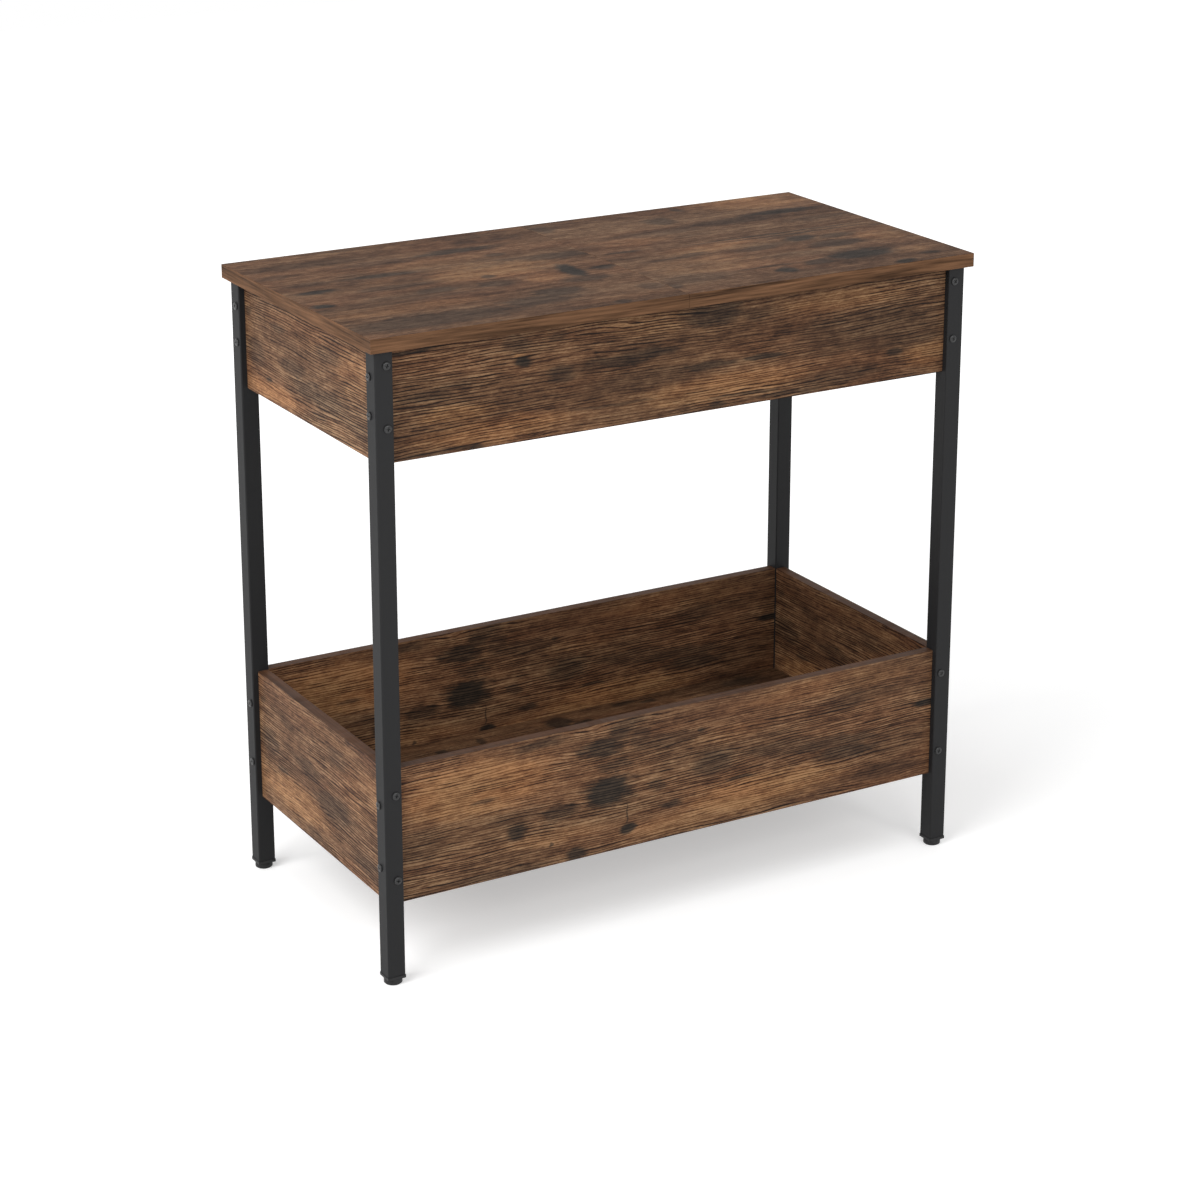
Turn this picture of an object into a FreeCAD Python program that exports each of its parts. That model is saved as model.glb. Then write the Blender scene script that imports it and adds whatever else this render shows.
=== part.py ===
# Storage side table: four square tube legs, an upper box under two lift-off lids, a lower open box
# Frame: origin on the floor under the middle, +Z up, front faces -Y, millimetres

import FreeCAD
import Part
import Sketcher
import os

V = FreeCAD.Vector
doc = FreeCAD.newDocument("storage_side_table")

# Driving dimensions
DIMS = [
    # overall
    ("leg_span_x", 713.0), ("leg_span_y", 350.0), ("overall_height", 700.0),
    # steel tube legs
    ("tube_size", 20.0), ("tube_wall", 1.2), ("tube_radius", 1.5),
    # boards
    ("board_thick", 12.0), ("board_setback", 7.0), ("board_end_gap", 0.2), ("bottom_fit_gap", 0.5),
    ("bottom_recess", 9.0), ("bottom_corner_cut", 4.0),
    ("upper_box_height", 118.0), ("lower_box_height", 150.0), ("lower_box_bottom", 90.0),
    # lids and battens
    ("lid_thick", 15.0), ("lid_overhang", 7.0), ("lid_seam", 0.4), ("lid_edge_round", 0.4),
    ("batten_width", 20.0), ("batten_play", 2.0), ("batten_end_round", 4.0),
    # leg screws
    ("screw_shank", 4.0), ("screw_head", 8.5), ("screw_head_rise", 2.0), ("screw_head_land", 0.6),
    ("screw_head_crown", 5.6), ("screw_length", 48.0),
    ("screw_recess_long", 4.4), ("screw_recess_wide", 0.9), ("screw_recess_deep", 1.2),
    ("tube_hole_gap", 0.25), ("pilot_gap", 0.05), ("pilot_end_gap", 1.0),
    # leg screws in the front and rear faces (y) and in the side faces (x), below a box's top edge
    # and above its bottom edge
    ("upper_screw_high_y", 15.5), ("upper_screw_high_x", 27.75),
    ("upper_screw_low_y", 38.0), ("upper_screw_low_x", 50.25),
    ("lower_screw_high_y", 26.5), ("lower_screw_high_x", 38.8),
    ("lower_screw_low_y", 28.9), ("lower_screw_low_x", 41.2),
    # cam locks and cam bolts
    ("cam_size", 15.0), ("cam_gap", 0.1), ("cam_hole_deep", 9.8), ("cam_height", 9.4),
    ("cam_inset", 24.0), ("cam_mouth", 7.4), ("cam_floor", 2.3), ("cam_slot_long", 9.0),
    ("cam_slot_wide", 1.6), ("cam_slot_deep", 1.4), ("cam_pitch", 400.0),
    ("bolt_shaft", 6.0), ("bolt_neck", 4.2), ("bolt_head", 6.8), ("bolt_head_long", 3.0),
    ("bolt_neck_long", 4.0), ("bolt_thread", 5.0), ("bolt_thread_long", 8.5), ("bolt_bore_gap", 0.5),
    # dowels
    ("dowel_size", 6.0), ("dowel_length", 24.0), ("dowel_in_side", 8.0), ("dowel_gap", 0.05),
    ("dowel_end_gap", 0.5), ("dowel_pitch", 180.0), ("dowel_taper", 0.6),
    ("divider_dowel_rise", 10.0),
    # divider and batten screws, countersunk
    ("wood_screw_shank", 3.6), ("wood_screw_head", 7.0), ("wood_screw_cone", 2.2),
    ("wood_screw_sink", 0.3), ("divider_screw_length", 34.0), ("divider_screw_pitch", 200.0),
    ("batten_screw_length", 18.0), ("batten_screw_pitch", 200.0),
    # leg end plugs and levelling feet
    ("plug_flange", 3.0), ("plug_flange_proud", 0.5), ("plug_fit_gap", 0.1), ("plug_length", 18.0),
    ("plug_corner", 1.2), ("plug_bore_gap", 0.05), ("top_plug_length", 12.0), ("top_plug_wall", 2.0),
    ("top_plug_drop", 0.3), ("foot_height", 7.0), ("foot_size", 19.5), ("foot_top_size", 17.5),
    ("foot_edge_round", 1.0), ("foot_clearance", 0.2), ("stud_size", 8.0), ("stud_length", 24.0),
    ("stud_seat_height", 2.5), ("stud_seat_gap", 0.05), ("stud_end_cut", 0.8), ("foot_side_height", 4.0),
    # cuts run past a face by this much
    ("overrun", 1.0),
]

sheet = doc.addObject("Spreadsheet::Sheet", "dims")
for row, (word, value) in enumerate(DIMS, start=1):
    sheet.set("A%d" % row, word)
    sheet.set("B%d" % row, str(value))
    sheet.setAlias("B%d" % row, word)
doc.recompute()
SIZE = dict(DIMS)


def dim(words):
    """Expression text: every known word in it becomes a cell of the sheet."""
    out = []
    for token in words.replace("(", " ( ").replace(")", " ) ").split():
        out.append("dims." + token if token in SIZE else token)
    return " ".join(out)


def origin_plane(body, role):
    """The body's own origin plane with this role: XY_Plane, XZ_Plane or YZ_Plane."""
    for feature in body.Origin.OriginFeatures:
        if feature.Role == role:
            return feature
    raise ValueError("no origin plane " + role)


def new_body(name):
    body = doc.addObject("PartDesign::Body", name)
    body.Label = name
    return body


def new_sketch(body, role, name, offset=None):
    """A sketch on an origin plane, raised along the plane's normal by an expression."""
    sketch = body.newObject("Sketcher::SketchObject", name)
    sketch.AttachmentSupport = [(origin_plane(body, role), "")]
    sketch.MapMode = "FlatFace"
    if offset:
        sketch.setExpression("AttachmentOffset.Base.z", dim(offset))
    return sketch


def bind(sketch, index, words):
    sketch.setExpression("Constraints[%d]" % index, dim(words))


def rectangle(sketch, width, height, x="0", y="0"):
    """A rectangle of this width and height about the point x, y; all four are expressions."""
    half = SIZE["tube_size"]
    corners = [V(-half, -half, 0), V(half, -half, 0), V(half, half, 0), V(-half, half, 0)]
    first = sketch.GeometryCount
    for i in range(4):
        sketch.addGeometry(Part.LineSegment(corners[i], corners[(i + 1) % 4]), False)
    for i in range(4):
        sketch.addConstraint(Sketcher.Constraint("Coincident", first + i, 2, first + (i + 1) % 4, 1))
    for i, kind in enumerate(("Horizontal", "Vertical", "Horizontal", "Vertical")):
        sketch.addConstraint(Sketcher.Constraint(kind, first + i))
    left = sketch.addConstraint(Sketcher.Constraint("DistanceX", -1, 1, first, 1, -half))
    bind(sketch, left, "( %s ) - ( %s ) / 2" % (x, width))
    right = sketch.addConstraint(Sketcher.Constraint("DistanceX", -1, 1, first + 1, 1, half))
    bind(sketch, right, "( %s ) + ( %s ) / 2" % (x, width))
    low = sketch.addConstraint(Sketcher.Constraint("DistanceY", -1, 1, first, 1, -half))
    bind(sketch, low, "( %s ) - ( %s ) / 2" % (y, height))
    high = sketch.addConstraint(Sketcher.Constraint("DistanceY", -1, 1, first + 2, 1, half))
    bind(sketch, high, "( %s ) + ( %s ) / 2" % (y, height))


def circle(sketch, diameter, x="0", y="0"):
    """A circle about the point x, y; diameter, x and y are expressions."""
    index = sketch.addGeometry(Part.Circle(V(1, 1, 0), V(0, 0, 1), 1), False)
    centre_x = sketch.addConstraint(Sketcher.Constraint("DistanceX", -1, 1, index, 3, 1))
    bind(sketch, centre_x, x)
    centre_y = sketch.addConstraint(Sketcher.Constraint("DistanceY", -1, 1, index, 3, 1))
    bind(sketch, centre_y, y)
    size = sketch.addConstraint(Sketcher.Constraint("Diameter", index, 2))
    bind(sketch, size, diameter)


def polygon(sketch, points):
    """A closed outline; each point is a pair of expressions."""
    first = sketch.GeometryCount
    count = len(points)
    start = []
    for words_x, words_y in points:
        start.append(V(value(words_x), value(words_y), 0))
    for i in range(count):
        sketch.addGeometry(Part.LineSegment(start[i], start[(i + 1) % count]), False)
    for i in range(count):
        sketch.addConstraint(Sketcher.Constraint("Coincident", first + i, 2, first + (i + 1) % count, 1))
    for i, (words_x, words_y) in enumerate(points):
        at_x = sketch.addConstraint(Sketcher.Constraint("DistanceX", -1, 1, first + i, 1, start[i].x))
        bind(sketch, at_x, words_x)
        at_y = sketch.addConstraint(Sketcher.Constraint("DistanceY", -1, 1, first + i, 1, start[i].y))
        bind(sketch, at_y, words_y)


def value(words):
    """The present value of an expression over the driving dimensions."""
    return float(sheet.evalExpression(dim(words)))


def pad(body, sketch, name, length, midplane=False, reverse=False):
    feature = body.newObject("PartDesign::Pad", name)
    feature.Profile = sketch
    feature.Midplane = midplane
    feature.Reversed = reverse
    feature.setExpression("Length", dim(length))
    doc.recompute()
    return feature


def pocket(body, sketch, name, depth=None, midplane=False, reverse=False):
    """A pocket against the sketch's normal, or through the whole body when no depth is given."""
    before = body.Shape.Volume
    feature = body.newObject("PartDesign::Pocket", name)
    feature.Profile = sketch
    feature.Midplane = midplane
    feature.Reversed = reverse
    if depth:
        feature.setExpression("Length", dim(depth))
    else:
        feature.Type = "ThroughAll"
    doc.recompute()
    if not body.Shape.Volume < before:
        raise ValueError("pocket %s of %s cuts nothing" % (name, body.Label))
    return feature


def mirrored(body, features, role, name):
    before = body.Shape.Volume
    feature = body.newObject("PartDesign::Mirrored", name)
    feature.Originals = features
    feature.MirrorPlane = (origin_plane(body, role), [""])
    body.Tip = feature
    doc.recompute()
    if abs(body.Shape.Volume - before) < SAME:
        raise ValueError("mirror %s of %s changes nothing" % (name, body.Label))
    return feature


def place(item, x="0", y="0", z="0", yaw=0.0, tilt=0.0):
    """Tilt about X, then yaw about Z, then move; x, y and z are expressions."""
    turn = FreeCAD.Rotation(V(0, 0, 1), yaw).multiply(FreeCAD.Rotation(V(1, 0, 0), tilt))
    item.Placement = FreeCAD.Placement(V(0, 0, 0), turn)
    item.setExpression("Placement.Base.x", dim(x))
    item.setExpression("Placement.Base.y", dim(y))
    item.setExpression("Placement.Base.z", dim(z))


# Positions that follow from the driving dimensions
BOX_TOP = "( overall_height - lid_thick )"
UPPER_BOTTOM = "( overall_height - lid_thick - upper_box_height )"
LOWER_BOTTOM = "lower_box_bottom"
LEG_FOOT = "( foot_height + plug_flange )"
LEG_X = "( leg_span_x / 2 - tube_size / 2 )"
LEG_Y = "( leg_span_y / 2 - tube_size / 2 )"
BOARD_LINE = "( board_setback + board_thick / 2 )"
BOARD_X = "( leg_span_x / 2 - board_setback - board_thick / 2 )"
BOARD_Y = "( leg_span_y / 2 - board_setback - board_thick / 2 )"
INNER_X = "( leg_span_x / 2 - board_setback - board_thick )"
INNER_Y = "( leg_span_y / 2 - board_setback - board_thick )"
UPPER_MID = "( overall_height - lid_thick - upper_box_height / 2 )"
LOWER_MID = "( lower_box_bottom + lower_box_height / 2 )"
LOWER_TOP = "( lower_box_bottom + lower_box_height )"
CORNERS = [("front_left", -1, -1), ("front_right", 1, -1), ("rear_left", -1, 1), ("rear_right", 1, 1)]

# Coordinates closer than this are the same
SAME = 1e-6


def times(sign, words):
    return "%d * %s" % (sign, words)


def screw_levels(box, axis):
    """Heights above the floor of a box's two screws on a leg face: low and high."""
    bottom, top = (UPPER_BOTTOM, BOX_TOP) if box == "upper" else (LOWER_BOTTOM, LOWER_TOP)
    return "( %s + %s_screw_low_%s )" % (bottom, box, axis), "( %s - %s_screw_high_%s )" % (top, box, axis)


# Legs: square tube with a clearance hole for each screw through both walls
def make_leg(name, sx, sy):
    leg = new_body("leg_" + name)
    section = new_sketch(leg, "XY_Plane", "section")
    rectangle(section, "tube_size", "tube_size")
    tube = pad(leg, section, "tube", "%s - %s" % (BOX_TOP, LEG_FOOT))
    upright = []
    for i, edge in enumerate(tube.Shape.Edges, start=1):
        if abs(edge.Vertexes[0].Z - edge.Vertexes[-1].Z) > SAME:
            upright.append("Edge%d" % i)
    corner = leg.newObject("PartDesign::Fillet", "corners")
    corner.Base = (tube, upright)
    corner.setExpression("Radius", dim("tube_radius"))
    doc.recompute()
    inside = new_sketch(leg, "XY_Plane", "bore_section")
    rectangle(inside, "tube_size - 2 * tube_wall", "tube_size - 2 * tube_wall")
    pocket(leg, inside, "bore", midplane=True)
    shift = "( %s - tube_size / 2 )" % BOARD_LINE
    for axis, role, across in (("y", "XZ_Plane", sx), ("x", "YZ_Plane", sy)):
        holes = new_sketch(leg, role, "screw_holes_" + axis)
        for box in ("upper", "lower"):
            for level in screw_levels(box, axis):
                circle(holes, "screw_shank + 2 * tube_hole_gap", times(-across, shift),
                       "%s - %s" % (level, LEG_FOOT))
        pocket(leg, holes, "screw_bores_" + axis, midplane=True)
    place(leg, times(sx, LEG_X), times(sy, LEG_Y), LEG_FOOT)
    return leg


# Plastic plug that closes a leg's open top: a square cup pushed into the tube
def make_top_plug(name, sx, sy):
    plug = new_body("top_plug_" + name)
    outer = "( tube_size - 2 * tube_wall - 2 * plug_fit_gap )"
    section = new_sketch(plug, "XY_Plane", "section")
    rectangle(section, outer, outer)
    pad(plug, section, "block", "top_plug_length")
    hollow = new_sketch(plug, "XY_Plane", "hollow_section")
    rectangle(hollow, "%s - 2 * top_plug_wall" % outer, "%s - 2 * top_plug_wall" % outer)
    pocket(plug, hollow, "hollow", "top_plug_length - top_plug_wall", reverse=True)
    place(plug, times(sx, LEG_X), times(sy, LEG_Y), "%s - top_plug_drop - top_plug_length" % BOX_TOP)
    return plug


# Plastic insert in a leg's foot: flange under the tube, body inside it, bore for the stud
def make_foot_insert(name, sx, sy):
    insert = new_body("foot_insert_" + name)
    flange = "( tube_size + 2 * plug_flange_proud )"
    inner = "( tube_size - 2 * tube_wall - 2 * plug_fit_gap )"
    rim = new_sketch(insert, "XY_Plane", "flange_section")
    rectangle(rim, flange, flange)
    plate = pad(insert, rim, "flange", "plug_flange")
    upright = []
    for i, edge in enumerate(plate.Shape.Edges, start=1):
        if abs(edge.Vertexes[0].Z - edge.Vertexes[-1].Z) > SAME:
            upright.append("Edge%d" % i)
    soft = insert.newObject("PartDesign::Fillet", "flange_corners")
    soft.Base = (plate, upright)
    soft.setExpression("Radius", dim("plug_corner"))
    doc.recompute()
    stem = new_sketch(insert, "XY_Plane", "stem_section", "plug_flange")
    rectangle(stem, inner, inner)
    pad(insert, stem, "stem", "plug_length")
    bore = new_sketch(insert, "XY_Plane", "stud_section")
    circle(bore, "stud_size + 2 * plug_bore_gap")
    pocket(insert, bore, "stud_bore", midplane=True)
    place(insert, times(sx, LEG_X), times(sy, LEG_Y), "foot_height")
    return insert


def turned(body, points):
    """A body turned about local Z from a half outline of x, z expressions."""
    outline = new_sketch(body, "XZ_Plane", "profile")
    polygon(outline, points)
    feature = body.newObject("PartDesign::Revolution", "turned")
    feature.Profile = outline
    feature.ReferenceAxis = (outline, ["V_Axis"])
    feature.Angle = 360
    doc.recompute()


# Levelling foot: a steel stud moulded into a round pad
def make_foot_stud(name, sx, sy):
    stud = new_body("foot_stud_" + name)
    low = "stud_seat_height"
    top = "( stud_seat_height + stud_length )"
    turned(stud, [
        ("0", low), ("stud_size / 2", low), ("stud_size / 2", top + " - stud_end_cut"),
        ("stud_size / 2 - stud_end_cut", top), ("0", top)])
    place(stud, times(sx, LEG_X), times(sy, LEG_Y))
    return stud


def make_foot_pad(name, sx, sy):
    foot = new_body("foot_pad_" + name)
    top = "( foot_height - foot_clearance )"
    seat = "( stud_size / 2 + stud_seat_gap )"
    turned(foot, [
        ("0", "0"), ("foot_size / 2 - foot_edge_round", "0"), ("foot_size / 2", "foot_edge_round"),
        ("foot_size / 2", "foot_side_height"), ("foot_top_size / 2", top), (seat, top),
        (seat, "stud_seat_height"), ("0", "stud_seat_height")])
    place(foot, times(sx, LEG_X), times(sy, LEG_Y))
    return foot


# Upright side boards: length along local X, height along local Y, inner face towards local +Z
def make_panel(name, box, axis, length, yaw, x, y, extra=None):
    """A side board of a box; axis is the direction of its length, extra the divider dowel's height."""
    height = box + "_box_height"
    panel = new_body(name)
    face = new_sketch(panel, "XY_Plane", "outline")
    rectangle(face, length, height)
    pad(panel, face, "board", "board_thick", midplane=True)
    middle = UPPER_MID if box == "upper" else LOWER_MID
    ends = new_sketch(panel, "YZ_Plane", "end_holes", "( %s ) / 2" % length)
    for level in screw_levels(box, axis):
        circle(ends, "screw_shank + 2 * pilot_gap", "%s - %s" % (level, middle), "0")
    depth = "screw_length - tube_size + pilot_end_gap"
    drilled = pocket(panel, ends, "end_bores", depth)
    mirrored(panel, [drilled], "YZ_Plane", "end_bores_both")
    level = "bottom_recess + board_thick / 2 - ( %s ) / 2" % height
    inner = new_sketch(panel, "XY_Plane", "inner_holes", "board_thick / 2")
    if axis == "x":
        for side in (-1, 1):
            circle(inner, "bolt_thread + 2 * pilot_gap", "%d * cam_pitch / 2" % side, level)
        pocket(panel, inner, "bolt_bores", "bolt_thread_long + pilot_end_gap / 2")
    else:
        for side in (-1, 1):
            circle(inner, "dowel_size + 2 * dowel_gap", "%d * dowel_pitch / 2" % side, level)
        pocket(panel, inner, "dowel_bores", "dowel_in_side + dowel_end_gap")
    if extra:
        single = new_sketch(panel, "XY_Plane", "divider_hole", "board_thick / 2")
        circle(single, "dowel_size + 2 * dowel_gap", "0", extra)
        pocket(panel, single, "divider_bore", "dowel_in_side + dowel_end_gap")
    place(panel, x, y, middle, yaw, 90.0)
    return panel


# Bottom boards: cam and bolt bores along the long edges, dowel bores in the short edges
def make_bottom(name, z, divider_screws):
    board = new_body(name)
    long_side = "( 2 * %s - 2 * bottom_fit_gap )" % INNER_X
    short_side = "( 2 * %s - 2 * bottom_fit_gap )" % INNER_Y
    cut = "bottom_corner_cut"
    hx = "%s / 2" % long_side
    hy = "%s / 2" % short_side
    face = new_sketch(board, "XY_Plane", "outline")
    polygon(face, [
        ("- %s + %s" % (hx, cut), "- " + hy), ("%s - %s" % (hx, cut), "- " + hy),
        (hx, "- %s + %s" % (hy, cut)), (hx, "%s - %s" % (hy, cut)),
        ("%s - %s" % (hx, cut), hy), ("- %s + %s" % (hx, cut), hy),
        ("- " + hx, "%s - %s" % (hy, cut)), ("- " + hx, "- %s + %s" % (hy, cut))])
    pad(board, face, "board", "board_thick")
    cams = new_sketch(board, "XY_Plane", "cam_holes")
    for side in (-1, 1):
        circle(cams, "cam_size", "%d * cam_pitch / 2" % side, "%s - cam_inset" % INNER_Y)
    sunk = pocket(board, cams, "cam_bores", "cam_hole_deep", reverse=True)
    edge = new_sketch(board, "XZ_Plane", "bolt_holes", "- " + hy)
    for side in (-1, 1):
        circle(edge, "bolt_shaft + 2 * bolt_bore_gap", "%d * cam_pitch / 2" % side, "board_thick / 2")
    reach = "cam_inset - bottom_fit_gap - cam_size / 2 + overrun"
    bored = pocket(board, edge, "bolt_bores", reach, reverse=True)
    mirrored(board, [sunk, bored], "XZ_Plane", "bores_both")
    ends = new_sketch(board, "YZ_Plane", "dowel_holes", hx)
    for side in (-1, 1):
        circle(ends, "dowel_size + 2 * dowel_gap", "%d * dowel_pitch / 2" % side, "board_thick / 2")
    deep = "dowel_length - dowel_in_side - bottom_fit_gap + dowel_end_gap"
    pinned = pocket(board, ends, "dowel_bores", deep)
    mirrored(board, [pinned], "YZ_Plane", "dowel_bores_both")
    if divider_screws:
        through = new_sketch(board, "XY_Plane", "screw_holes")
        wide = new_sketch(board, "XY_Plane", "sink_holes")
        for side in (-1, 1):
            at = "%d * divider_screw_pitch / 2" % side
            circle(through, "wood_screw_shank + 2 * tube_hole_gap", "0", at)
            circle(wide, "wood_screw_head + 2 * pilot_gap", "0", at)
        pocket(board, through, "screw_bores", midplane=True)
        pocket(board, wide, "screw_sinks", "wood_screw_cone + wood_screw_sink", reverse=True)
    place(board, "0", "0", z)
    return board


# Divider under the seam of the lids: length along Y, stands on the upper bottom board
def make_divider():
    divider = new_body("upper_divider")
    length = "( 2 * %s - 2 * bottom_fit_gap )" % INNER_Y
    height = "( upper_box_height - bottom_recess - board_thick )"
    face = new_sketch(divider, "YZ_Plane", "outline")
    rectangle(face, length, height, "0", "%s / 2" % height)
    pad(divider, face, "board", "board_thick", midplane=True)
    below = new_sketch(divider, "XY_Plane", "screw_holes")
    for side in (-1, 1):
        circle(below, "wood_screw_shank + 2 * pilot_gap", "0", "%d * divider_screw_pitch / 2" % side)
    deep = "divider_screw_length - board_thick + wood_screw_sink + pilot_end_gap"
    pocket(divider, below, "screw_bores", deep, reverse=True)
    ends = new_sketch(divider, "XZ_Plane", "dowel_holes", "- %s / 2" % length)
    circle(ends, "dowel_size + 2 * dowel_gap", "0", "%s / 2 + divider_dowel_rise" % height)
    deep = "dowel_length - dowel_in_side - bottom_fit_gap + dowel_end_gap"
    pinned = pocket(divider, ends, "dowel_bores", deep, reverse=True)
    mirrored(divider, [pinned], "XZ_Plane", "dowel_bores_both")
    place(divider, "0", "0", "%s + bottom_recess + board_thick" % UPPER_BOTTOM)
    return divider


# Lids: two square boards that meet over the divider, softened along the free edges
def make_lid(name, sx):
    lid = new_body(name)
    near = times(sx, "lid_seam / 2")
    far = times(sx, "( leg_span_x / 2 + lid_overhang )")
    half_y = "( leg_span_y / 2 + lid_overhang )"
    face = new_sketch(lid, "XY_Plane", "outline")
    rectangle(face, "%s - lid_seam / 2" % "( leg_span_x / 2 + lid_overhang )", "2 * %s" % half_y,
              "( %s + %s ) / 2" % (near, far), "0")
    board = pad(lid, face, "board", "lid_thick")
    seam = value(near)
    free_edges = []
    for i, line in enumerate(board.Shape.Edges, start=1):
        a, b = line.Vertexes[0].Point, line.Vertexes[-1].Point
        on_seam = abs(a.x - seam) < SAME and abs(b.x - seam) < SAME
        if not on_seam:
            free_edges.append("Edge%d" % i)
    soft = lid.newObject("PartDesign::Fillet", "edge_round")
    soft.Base = (board, free_edges)
    soft.setExpression("Radius", dim("lid_edge_round"))
    doc.recompute()
    below = new_sketch(lid, "XY_Plane", "batten_holes")
    for at in batten_lines(sx):
        for side in (-1, 1):
            circle(below, "wood_screw_shank + 2 * pilot_gap", at, "%d * batten_screw_pitch / 2" % side)
    deep = "batten_screw_length - board_thick + wood_screw_sink + pilot_end_gap / 2"
    pocket(lid, below, "batten_bores", deep, reverse=True)
    place(lid, "0", "0", BOX_TOP)
    return lid


def batten_lines(sx):
    """The two battens' centre lines under a lid: by the outer board, and by the divider."""
    outer = "( %s - batten_play - batten_width / 2 )" % INNER_X
    inner = "( board_thick / 2 + batten_play + batten_width / 2 )"
    return times(sx, outer), times(sx, inner)


def make_batten(name, at):
    batten = new_body(name)
    length = "( 2 * %s - 2 * batten_play )" % INNER_Y
    face = new_sketch(batten, "XY_Plane", "outline")
    rectangle(face, "batten_width", length)
    block = pad(batten, face, "strip", "board_thick")
    low_ends = []
    for i, line in enumerate(block.Shape.Edges, start=1):
        a, b = line.Vertexes[0].Point, line.Vertexes[-1].Point
        if abs(a.z) < SAME and abs(b.z) < SAME and abs(a.y - b.y) < SAME:
            low_ends.append("Edge%d" % i)
    lead = batten.newObject("PartDesign::Chamfer", "lead_in")
    lead.Base = (block, low_ends)
    lead.setExpression("Size", dim("batten_end_round"))
    doc.recompute()
    through = new_sketch(batten, "XY_Plane", "screw_holes")
    wide = new_sketch(batten, "XY_Plane", "sink_holes")
    for side in (-1, 1):
        at_screw = "%d * batten_screw_pitch / 2" % side
        circle(through, "wood_screw_shank + 2 * tube_hole_gap", "0", at_screw)
        circle(wide, "wood_screw_head + 2 * pilot_gap", "0", at_screw)
    pocket(batten, through, "screw_bores", midplane=True)
    pocket(batten, wide, "screw_sinks", "wood_screw_cone + wood_screw_sink", reverse=True)
    place(batten, at, "0", "%s - board_thick" % BOX_TOP)
    return batten


# Master fasteners: axis along local Z, seat at the origin, shank towards -Z unless noted
def make_leg_screw():
    screw = new_body("leg_screw")
    turned(screw, [
        ("0", "- screw_length"), ("screw_shank / 2", "- screw_length"), ("screw_shank / 2", "0"),
        ("screw_head / 2", "0"), ("screw_head / 2", "screw_head_land"),
        ("screw_head_crown / 2", "screw_head_rise"), ("0", "screw_head_rise")])
    for tag, wide, high in (("a", "screw_recess_long", "screw_recess_wide"),
                            ("b", "screw_recess_wide", "screw_recess_long")):
        slot = new_sketch(screw, "XY_Plane", "recess_" + tag, "screw_head_rise")
        rectangle(slot, wide, high)
        pocket(screw, slot, "cross_" + tag, "screw_recess_deep")
    return screw


def make_wood_screw(name, length):
    """Countersunk screw: flat head up at the origin, shank towards -Z."""
    screw = new_body(name)
    turned(screw, [
        ("0", "- " + length), ("wood_screw_shank / 2", "- " + length),
        ("wood_screw_shank / 2", "- wood_screw_cone"), ("wood_screw_head / 2", "0"), ("0", "0")])
    return screw


def make_cam():
    """Cam lock: underside at the origin, mouth for the bolt towards +Y."""
    cam = new_body("cam_lock")
    disc = new_sketch(cam, "XY_Plane", "section")
    circle(disc, "cam_size - 2 * cam_gap")
    pad(cam, disc, "disc", "cam_height")
    mouth = new_sketch(cam, "XY_Plane", "mouth_section", "cam_height")
    reach = "( cam_size / 2 + overrun + bolt_head )"
    rectangle(mouth, "cam_mouth", reach, "0", "%s / 2 - bolt_head" % reach)
    pocket(cam, mouth, "mouth", "cam_height - cam_floor")
    slot = new_sketch(cam, "XY_Plane", "driver_slot")
    rectangle(slot, "cam_slot_long", "cam_slot_wide")
    pocket(cam, slot, "driver_cut", "cam_slot_deep", reverse=True)
    return cam


def make_cam_bolt():
    """Cam bolt: side board's inner face at the origin, head towards +Z, thread towards -Z."""
    bolt = new_body("cam_bolt")
    end = "( cam_inset + bolt_head_long / 2 )"
    neck_low = "( %s - bolt_head_long - bolt_neck_long )" % end
    neck_high = "( %s - bolt_head_long )" % end
    turned(bolt, [
        ("0", "- bolt_thread_long"), ("bolt_thread / 2", "- bolt_thread_long"), ("bolt_thread / 2", "0"),
        ("bolt_shaft / 2", "0"), ("bolt_shaft / 2", neck_low), ("bolt_neck / 2", neck_low),
        ("bolt_neck / 2", neck_high), ("bolt_head / 2", neck_high), ("bolt_head / 2", end), ("0", end)])
    return bolt


def make_dowel():
    """Fluted hardwood dowel as a plain pin with tapered ends: side board's face at the origin."""
    dowel = new_body("dowel")
    low = "- dowel_in_side"
    high = "( dowel_length - dowel_in_side )"
    turned(dowel, [
        ("0", low), ("dowel_size / 2 - dowel_taper", low), ("dowel_size / 2", low + " + dowel_taper"),
        ("dowel_size / 2", "%s - dowel_taper" % high), ("dowel_size / 2 - dowel_taper", high), ("0", high)])
    return dowel


def make_group(name, master, spots):
    """Copies of a master fastener; a spot is x, y, z expressions and the rotation of local +Z."""
    links = []
    for number, (x, y, z, turn) in enumerate(spots, start=1):
        link = doc.addObject("App::Link", "%s_%d" % (name, number))
        link.LinkedObject = master
        link.LinkTransform = False
        link.Placement = FreeCAD.Placement(V(0, 0, 0), turn)
        link.setExpression("Placement.Base.x", dim(x))
        link.setExpression("Placement.Base.y", dim(y))
        link.setExpression("Placement.Base.z", dim(z))
        links.append(link)
    group = doc.addObject("Part::Compound", name)
    group.Label = name
    group.Links = links
    return group


def facing(direction):
    """The rotation that turns local +Z to a direction."""
    return FreeCAD.Rotation(V(0, 0, 1), direction)


nodes = []

for corner_name, cx, cy in CORNERS:
    nodes.append(make_leg(corner_name, cx, cy))
    nodes.append(make_top_plug(corner_name, cx, cy))
    nodes.append(make_foot_insert(corner_name, cx, cy))
    nodes.append(make_foot_stud(corner_name, cx, cy))
    nodes.append(make_foot_pad(corner_name, cx, cy))

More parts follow.
